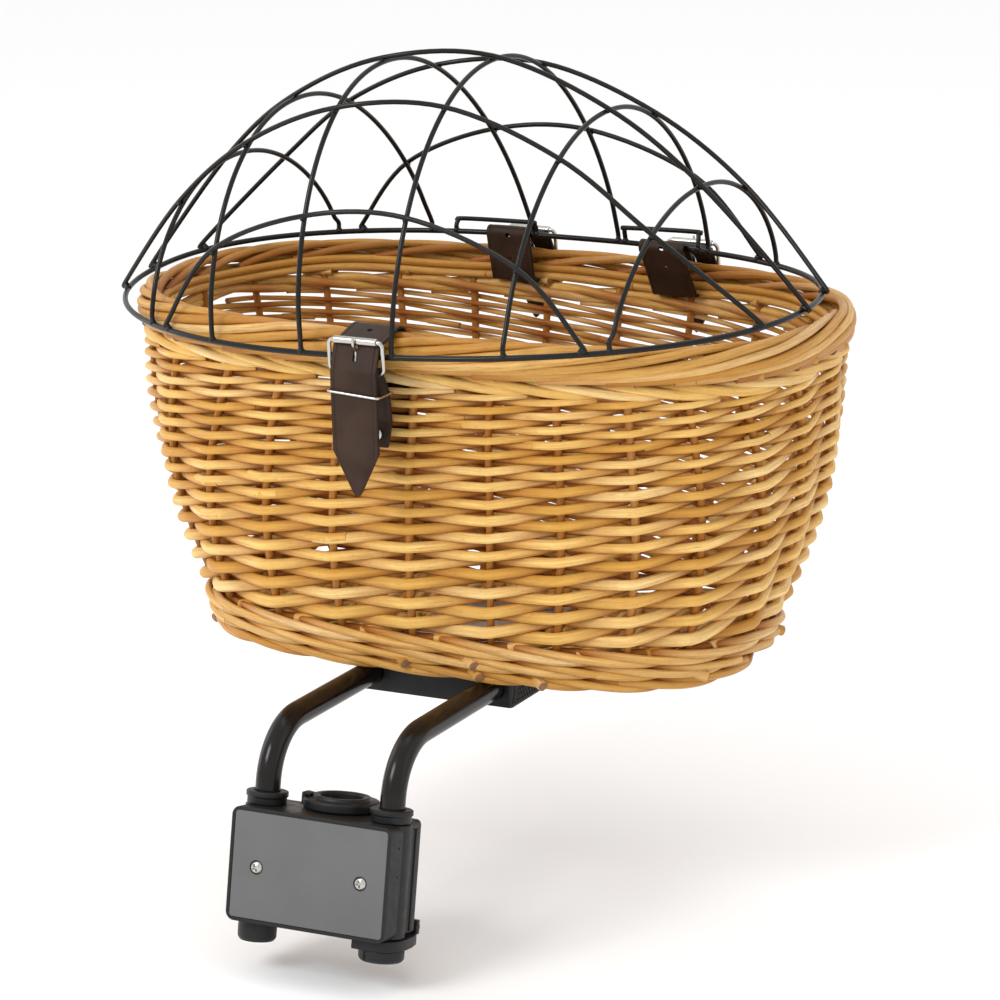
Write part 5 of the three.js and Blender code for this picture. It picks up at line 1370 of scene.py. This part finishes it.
def build_keeper():
    outer = max(strands_at(FRONT_STOPS, -KEEPER_DROP)) + STRAP_HALF + KEEPER_WIRE + KEEPER_SLACK
    inner = min(strands_at(CHAPE_STOPS, -KEEPER_DROP)) - STRAP_HALF - KEEPER_WIRE - KEEPER_SLACK
    loop = rectangle(2 * KEEPER_HALF_WIDTH, outer - inner, 2 * KEEPER_WIRE, steps=5)
    path = [in_row(FRONT_STRAP_X + px, -1, (outer + inner) / 2 + py, -KEEPER_DROP - KEEPER_TILT * px)
            for px, py in loop]
    wire = Rods().add(path, KEEPER_WIRE, sides=12, closed=True)
    wire.piece("keeper_loop", "nickel", "carrier", "strap_keeper")


def build_rivet():
    low = min(strands_at(FRONT_STOPS, -RIVET_DROP)) - STRAP_HALF - 3 * GAP
    high = min(strands_at(CHAPE_STOPS, -RIVET_DROP)) + STRAP_HALF + 3 * GAP
    head = [(0, RIVET_RISE), (RIVET_DOME, RIVET_EDGE_RISE), (RIVET_HEAD, 0), (RIVET_PIN, 0)]
    profile = [(radius, low - rise) for radius, rise in head]
    profile += [(radius, high + rise) for radius, rise in head[::-1]]
    matrix = moved(*in_row(FRONT_STRAP_X, -1, 0, -RIVET_DROP)) @ spun(90, "X")
    rivet = lathe("strap_rivet", profile, matrix, EDGE["rivet"], sides=32)
    piece("strap_rivet", rivet, "nickel", "carrier", "front_strap_rivet")


def build_straps():
    x = FRONT_STRAP_X
    name = "front_strap_leather"
    long_strap = strap(name, FRONT_STOPS, x, -1, tip=True, flat_end=FRONT_FLAT_END)
    holes = hole_distances(FRONT_STOPS, FRONT_FIRST_HOLE, 2)
    slot = prong_slot(FRONT_HINGE, FRONT_ROLLER, FRONT_SLOT_SHARES)
    piece(name, punched(name, long_strap, x, -1, holes, [slot]), "leather", "carrier", "front_strap")
    name = "front_chape_leather"
    chape = strap(name, CHAPE_STOPS, x, -1, foot_half=CHAPE_FOOT_HALF)
    slot = prong_slot(FRONT_HINGE, FRONT_ROLLER, CHAPE_SLOT_SHARES)
    piece(name, punched(name, chape, x, -1, [], [slot]), "leather", "carrier", "front_strap_chape")
    buckle("front", "", x, -1, FRONT_HINGE, FRONT_ROLLER)
    build_keeper()
    build_rivet()
    for ending, x in zip(("_left", "_right"), REAR_STRAP_X):
        name = f"rear_strap_leather{ending}"
        stops = rear_stops(x)
        holes = hole_distances(stops, REAR_FIRST_HOLE, 3)
        slot = prong_slot(REAR_HINGE, REAR_ROLLER, REAR_SLOT_SHARES)
        band = punched(name, strap(name, stops, x, 1, tip=True), x, 1, holes, [slot])
        made = piece(name, band, "leather", None, f"rear_strap{ending}")
        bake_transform(made)
        buckle("rear", ending, x, 1, REAR_HINGE, REAR_ROLLER)


# Carrier
TUBE_RADIUS = 0.00935
TUBE_SPACING = 0.0512
TUBE_BEND = 0.0472
TUBE_LEVEL = 0.10035
TUBE_END = BASKET_REACH + 0.062
TUBE_TO_BORE = 0.0203
BEND_DEGREES = 80
LEG_STEPS, BEND_STEPS, ARM_STEPS = 8, 32, 12
BLOCK_RIB = 0.0044
BLOCK_RIB_LEAN = 0.006
BLOCK_RIB_WIRE = 0.0012
BLOCK_RIB_SHARE = 0.42
BLOCK_MARGIN = 0.003
CLAMP = spun(-10, "X")


def fork_tube(name, x):
    foot = CLAMP @ Vector((x, -TUBE_TO_BORE, SOCKET_BOTTOM + GAP))
    up = CLAMP @ Vector((0, 0, 1))
    back = CLAMP @ Vector((0, 1, 0))
    bend = math.radians(BEND_DEGREES)
    corner = foot + up * ((TUBE_LEVEL - foot.z) / up.z)
    start = corner - up * TUBE_BEND * math.tan(bend / 2)
    centre = start + back * TUBE_BEND
    points = [foot + (start - foot) * k / LEG_STEPS for k in range(LEG_STEPS)]
    for k in range(BEND_STEPS + 1):
        angle = bend * k / BEND_STEPS
        points.append(centre - back * TUBE_BEND * math.cos(angle) + up * TUBE_BEND * math.sin(angle))
    end = Vector((x, TUBE_END, TUBE_LEVEL))
    points += [points[-1] + (end - points[-1]) * k / ARM_STEPS for k in range(1, ARM_STEPS + 1)]
    path = [tuple(point) for point in points]
    tube = Rods().add(path, TUBE_RADIUS, sides=48, start=np.array([1.0, 0, 0]))
    tube.piece(f"bent_tube_{name}", "tube_paint", "carrier", f"fork_tube_{name}")


def build_carrier():
    fork_tube("left", -TUBE_SPACING)
    fork_tube("right", TUBE_SPACING)
    low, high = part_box("carrier_block")
    parts = [refined("carrier_block", EDGE["block"])]
    middle = (low.z + high.z) / 2
    reach = BLOCK_RIB_SHARE * (high.z - low.z)
    for face in (low.x, high.x):
        for k in range(int((high.y - low.y) / BLOCK_RIB)):
            for lean in (-BLOCK_RIB_LEAN, BLOCK_RIB_LEAN):
                y = low.y + BLOCK_RIB * (k + 0.5)
                foot, head = np.clip((y - lean, y + lean), low.y + BLOCK_MARGIN, high.y - BLOCK_MARGIN)
                path = [(face, foot, middle - reach), (face, head, middle + reach)]
                parts.append(Rods().add(path, BLOCK_RIB_WIRE, sides=6).mesh("rib"))
    piece("ribbed_block", joined("ribbed_block", *parts), "black_plastic", "carrier", "carrier_block")


# Clamp, in its own frame: Y back from the seat tube's middle line, Z up along it
COVER_WIDTH = 0.1245
COVER_HEIGHT = 0.079
COVER_THICKNESS = 0.0024
COVER_CORNER = 0.0026
COVER_BORDER = 0.0028
HOUSING_TOP = COVER_HEIGHT / 2 + COVER_BORDER
HOUSING_SIDE = COVER_WIDTH / 2 + COVER_BORDER
FACE = -0.047
SOCKET_BOTTOM = -HOUSING_TOP + 0.009
SCREW_PLACES = [(-0.0424, -0.001), (0.0424, -0.001)]
SCREW_DEGREES = (28, 12)
SCREW_HEAD = 0.0046
SCREW_PROFILE = [(0, -0.006), (0.0018, -0.006), (0.0018, -0.0016), (SCREW_HEAD, -0.0015),
                 (SCREW_HEAD, -0.0002), (0.0036, 0.0011), (0.002, 0.0017), (0, 0.0019)]
CROSS_LENGTH, CROSS_WIDTH = 0.0058, 0.0015
CROSS_CORNER = 0.0002
CROSS_BOTTOM, CROSS_TOP = -0.0006, 0.004
WELL_RADIUS = 0.0054
WELL_DEPTH = 0.0032
FOOT_Y = -0.0213


def facing_out(x, z):
    """Clamp's frame turned so that Z looks out of its face."""
    return CLAMP @ moved(x, FACE, z) @ spun(90, "X")


def build_cover():
    outline = rectangle(COVER_WIDTH, COVER_HEIGHT, COVER_CORNER)
    plate = slab("grey_plate", outline, -COVER_THICKNESS, 0, EDGE["cover"], facing_out(0, 0))
    wells = [punch(WELL_RADIUS, WELL_DEPTH, facing_out(x, z), segments=48) for x, z in SCREW_PLACES]
    plate = soften(carve("grey_plate", plate, wells))
    piece("grey_plate", plate, "grey_plastic", "clamp", "clamp_cover")
    cross = rectangle(CROSS_LENGTH, CROSS_WIDTH, CROSS_CORNER, steps=2)
    for name, (x, z), degrees in zip(("left", "right"), SCREW_PLACES, SCREW_DEGREES):
        matrix = facing_out(x, z) @ spun(degrees, "Z")
        head = lathe("screw", SCREW_PROFILE, matrix, EDGE["screw"], sides=40)
        cutters = [slab("cross", cross, CROSS_BOTTOM, CROSS_TOP, matrix=matrix @ spun(turn, "Z"))
                   for turn in (0, 90)]
        head = soften(carve("screw", head, cutters))
        piece(f"cross_screw_{name}", head, "nickel", "clamp", f"cover_screw_{name}")


BAND_FRONT, BAND_BACK = -0.0075, -0.0006
BAND_SUNK, BAND_PROUD = 0.002, 0.0009
BAND_TOP = HOUSING_TOP - 0.0045
BARREL_RADIUS = 0.0156
BARREL_TOP = HOUSING_TOP - 0.0006
PIN_Y = -0.0326
PIN_LEVELS = (0.026, 0.005)
PIN_PROFILE = [(0, -0.001), (0.0011, -0.001), (0.0011, 0.0005), (0, 0.0007)]


def build_housing():
    parts = [refined("clamp_housing", EDGE["housing"])]
    barrel = [(0, -BARREL_TOP), (BARREL_RADIUS, -BARREL_TOP), (BARREL_RADIUS, BARREL_TOP), (0, BARREL_TOP)]
    for side in (-1, 1):
        face = side * HOUSING_SIDE
        inner, outer = face - side * BAND_SUNK, face + side * BAND_PROUD
        outline = [(inner, BAND_FRONT), (outer, BAND_FRONT), (outer, BAND_BACK), (inner, BAND_BACK)]
        parts.append(slab("band", outline[::side], -BAND_TOP, BAND_TOP, EDGE["band"], CLAMP))
        matrix = CLAMP @ moved(side * TUBE_SPACING, -TUBE_TO_BORE, 0)
        parts.append(lathe("barrel", barrel, matrix, EDGE["barrel"]))
        for z in PIN_LEVELS:
            matrix = CLAMP @ moved(face, PIN_Y, z) @ spun(90, "Y")
            parts.append(lathe("pin", PIN_PROFILE, matrix, EDGE["pin"], sides=20))
    piece("housing_shell", joined("housing_shell", *parts), "black_plastic", "clamp", "clamp_housing")
    jaw = refined("clamp_rear_jaw", EDGE["jaw"])
    piece("rear_jaw_shell", jaw, "black_plastic", "clamp", "clamp_rear_jaw")


BUSH_BORE, BUSH_OUTSIDE = 0.0159, 0.0179
# the bush's flange and lip: radius, and height over the housing
BUSH_RIM = [(0.0276, GAP), (0.0284, 0.0012), (0.0284, 0.0066), (0.0274, 0.0078), (0.0220, 0.008),
            (0.0212, 0.0104), (0.0176, 0.0104), (BUSH_BORE, 0.0094)]
# the hook's upright and its beak: lean in degrees, bottom and top over the housing, depth
HOOK_PARTS = [(0, 0.0015, 0.0108, 0.0034), (6, 0.0086, 0.0108, 0.0062)]
HOOK_PLACE = (-0.0276, -0.007)
HOOK_WIDTH = 0.0095
HOOK_CORNER = 0.0009
LUG_PLACE = (0.0278, -0.004)
LUG_DEPTH, LUG_WIDTH = 0.006, 0.010
LUG_BOTTOM, LUG_TOP = 0.0015, 0.0066
LUG_CORNER = 0.0012


def build_bush():
    top = HOUSING_TOP
    profile = [(BUSH_BORE, -top), (BUSH_OUTSIDE, -top), (BUSH_OUTSIDE, top + GAP)]
    profile += [(radius, top + height) for radius, height in BUSH_RIM]
    parts = [lathe("bush", profile, CLAMP, EDGE["bush"], sides=80)]
    for degrees, low, high, depth in HOOK_PARTS:
        matrix = CLAMP @ moved(HOOK_PLACE[0] + depth / 2, HOOK_PLACE[1], top) @ spun(degrees, "Y")
        outline = rectangle(depth, HOOK_WIDTH, HOOK_CORNER, steps=3)
        parts.append(slab("hook", outline, low, high, EDGE["hook"], matrix))
    outline = rectangle(LUG_DEPTH, LUG_WIDTH, LUG_CORNER, steps=3)
    parts.append(slab("lug", outline, LUG_BOTTOM, LUG_TOP, EDGE["lug"], CLAMP @ moved(*LUG_PLACE, top)))
    piece("bush_ring", joined("bush_ring", *parts), "black_plastic", "clamp", "seat_tube_bush")


SOCKET_BORE = TUBE_RADIUS + GAP
COLLAR_BOTTOM = SOCKET_BOTTOM + 0.009
COLLAR_WALL = 0.002
# the collar above the housing: radius and height over it
COLLAR_RIM = [(0.0146, GAP), (0.0146, 0.0054), (0.0156, 0.0058), (0.0156, 0.0092), (0.0147, 0.0098),
              (SOCKET_BORE + 0.0006, 0.0098), (SOCKET_BORE, 0.0090)]
# the round foot: radius and depth under the housing
ROUND_FOOT = [(0, 0.017), (0.0125, 0.017), (0.0143, 0.0145), (0.0145, 0.006), (0.0142, GAP), (0, GAP)]


def build_sockets():
    top = HOUSING_TOP
    sleeve = SOCKET_BORE + COLLAR_WALL
    profile = [(SOCKET_BORE, COLLAR_BOTTOM), (sleeve, COLLAR_BOTTOM), (sleeve, top + GAP)]
    profile += [(radius, top + height) for radius, height in COLLAR_RIM]
    for name, side in (("left", -1), ("right", 1)):
        matrix = CLAMP @ moved(side * TUBE_SPACING, -TUBE_TO_BORE, 0)
        collar = lathe("collar", profile, matrix, EDGE["collar"])
        piece(f"collar_{name}", collar, "black_plastic", "clamp", f"socket_collar_{name}")
    profile = [(radius, -top - depth) for radius, depth in ROUND_FOOT]
    foot = lathe("round_foot", profile, CLAMP @ moved(-TUBE_SPACING, FOOT_Y, 0), EDGE["foot"])
    piece("round_foot", foot, "black_plastic", "clamp", "clamp_foot_left")


LEVER_OUTLINE = [(-0.0172, -0.0160), (-0.0160, -0.0172), (0.0, -0.0178), (0.0085, -0.0160),
                 (0.0140, -0.0110), (0.0166, -0.0040), (0.0172, 0.0060), (0.0160, 0.0180),
                 (0.0135, 0.0290), (0.0110, 0.0345), (-0.0050, 0.0345), (-0.0090, 0.0240),
                 (-0.0150, 0.0140), (-0.0172, 0.0040)]
LEVER_THICKNESS = 0.008
# the knob: radius and depth under the lever's top
LEVER_KNOB = [(0.0033, 0.0078), (0.0033, 0.017), (0.0148, 0.017), (0.0168, 0.0148), (0.0170, 0.0078)]
SEAM_WIDTH = 0.0012
SEAM_DEGREES = -23
SEAM_OUT = -0.0166
SEAM_BOTTOM, SEAM_TOP = -0.0156, -0.0005
# the ridges of the tab: how high each stands over the lever's top, and how far it reaches
LEVER_RIDGES = [(0.0, 0.0050), (0.0034, 0.0062), (0.0070, 0.0050)]
RIDGE_PLACE = (0.0035, 0.0350, 0)
RIDGE_LENGTH = 0.0165
RIDGE_CORNER = 0.0012
RIDGE_BELOW, RIDGE_ABOVE = 0.001, 0.0026


def build_lever():
    top = -HOUSING_TOP - GAP
    hub = CLAMP @ moved(TUBE_SPACING, FOOT_Y, 0)
    parts = [slab("lever_plate", LEVER_OUTLINE, top - LEVER_THICKNESS, top, EDGE["lever"], hub)]
    parts.append(lathe("knob", [(radius, top - depth) for radius, depth in LEVER_KNOB], hub, EDGE["knob"]))
    seam = rectangle(SEAM_WIDTH, 2 * SEAM_WIDTH, SEAM_WIDTH / 4, steps=2)
    matrix = hub @ spun(SEAM_DEGREES, "Z") @ moved(0, SEAM_OUT, 0)
    parts.append(slab("seam", seam, top + SEAM_BOTTOM, top + SEAM_TOP, EDGE["seam"], matrix))
    for height, reach in LEVER_RIDGES:
        outline = rectangle(RIDGE_LENGTH, reach, RIDGE_CORNER, steps=3)
        low, high = top + height - RIDGE_BELOW, top + height + RIDGE_ABOVE
        parts.append(slab("ridge", outline, low, high, EDGE["ridge"], hub @ moved(*RIDGE_PLACE)))
    piece("lever_handle", joined("lever_handle", *parts), "black_plastic", "release_lever", "release_lever")


HARDWARE = ("carrier_bolt", "carrier_nut", "counter_plate", "clamp_bolt", "lever_screw")


def build_hardware():
    """Bolts, nuts and the plate inside, with their edges rounded."""
    bodies = frame["record"]["behaviour"]["bodies"]
    body_of = {node: body for body, nodes in bodies.items() for node in nodes}
    for name in frame["nodes"]:
        if name.startswith(HARDWARE):
            mesh = refined(name, EDGE["hardware"], segments=2)
            piece(f"{name}_finish", mesh, "steel", body_of[name], name)


build_basket()
build_lid()
build_straps()
build_carrier()
build_cover()
build_housing()
build_bush()
build_sockets()
build_lever()
build_hardware()

for name, node in frame["nodes"].items():
    node.data.materials.clear()
    node.data.materials.append(SLOTS[SLOT_OF[name]])


# Floor, light and camera
FLOOR_DROP = 0.02
FLOOR_SIZE = 14.0
FLOOR_WHITE = (0.95, 0.95, 0.95, 1)
LIGHT_AIM = Vector((0, 0.2, 0.25))
# each light's place, size and power
LIGHTS = {
    "key": ((-1.1, -2.3, 2.3), (1.2, 1.2), 48),
    "right": ((2.6, 0.1, 1.2), (1.2, 2.0), 3),
    "left": ((-2.6, 0.2, 1.0), (1.2, 2.0), 9),
    "top": ((0.2, 0.9, 3.0), (2.0, 1.6), 10),
}


def build_stage():
    made = bmesh.new()
    bmesh.ops.create_grid(made, x_segments=8, y_segments=8, size=FLOOR_SIZE / 2)
    floor = linked("studio_floor", from_bmesh(made, "studio_floor"))
    floor.location.z = cad_box[0][2] - FLOOR_DROP
    floor.data.materials.append(Shader("studio_floor", Roughness=0.9, Base_Color=FLOOR_WHITE).material)


WORLD_WHITE = 1.0


def build_light():
    world = bpy.data.worlds.new("studio")
    bpy.context.scene.world = world
    world.use_nodes = True
    background = world.node_tree.nodes["Background"].inputs
    background["Color"].default_value = (1, 1, 1, 1)
    background["Strength"].default_value = WORLD_WHITE
    for name, (place, size, power) in LIGHTS.items():
        data = bpy.data.lights.new(name, "AREA")
        data.shape = "RECTANGLE"
        data.size, data.size_y = size
        data.energy = power
        made = linked(name, data)
        made.location = place
        made.rotation_euler = (LIGHT_AIM - Vector(place)).to_track_quat("-Z", "Y").to_euler()


CAMERA_AIM = Vector((0.006, 0.268, 0.217))
CAMERA_BACK = Vector((0.41295, -0.87757, 0.24362))
CAMERA_DISTANCE = 3.2
CAMERA_LENS = 147.96
SENSOR_WIDTH = 36
CLIP_END = 50


def build_camera():
    data = bpy.data.cameras.new("camera")
    data.lens = CAMERA_LENS
    data.sensor_width = SENSOR_WIDTH
    data.clip_end = CLIP_END
    camera = linked("camera", data)
    camera.location = CAMERA_AIM + CAMERA_BACK.normalized() * CAMERA_DISTANCE
    camera.rotation_euler = CAMERA_BACK.to_track_quat("Z", "Y").to_euler()
    bpy.context.scene.camera = camera
    bpy.context.scene.view_settings.view_transform = "Standard"


build_stage()
build_light()
build_camera()
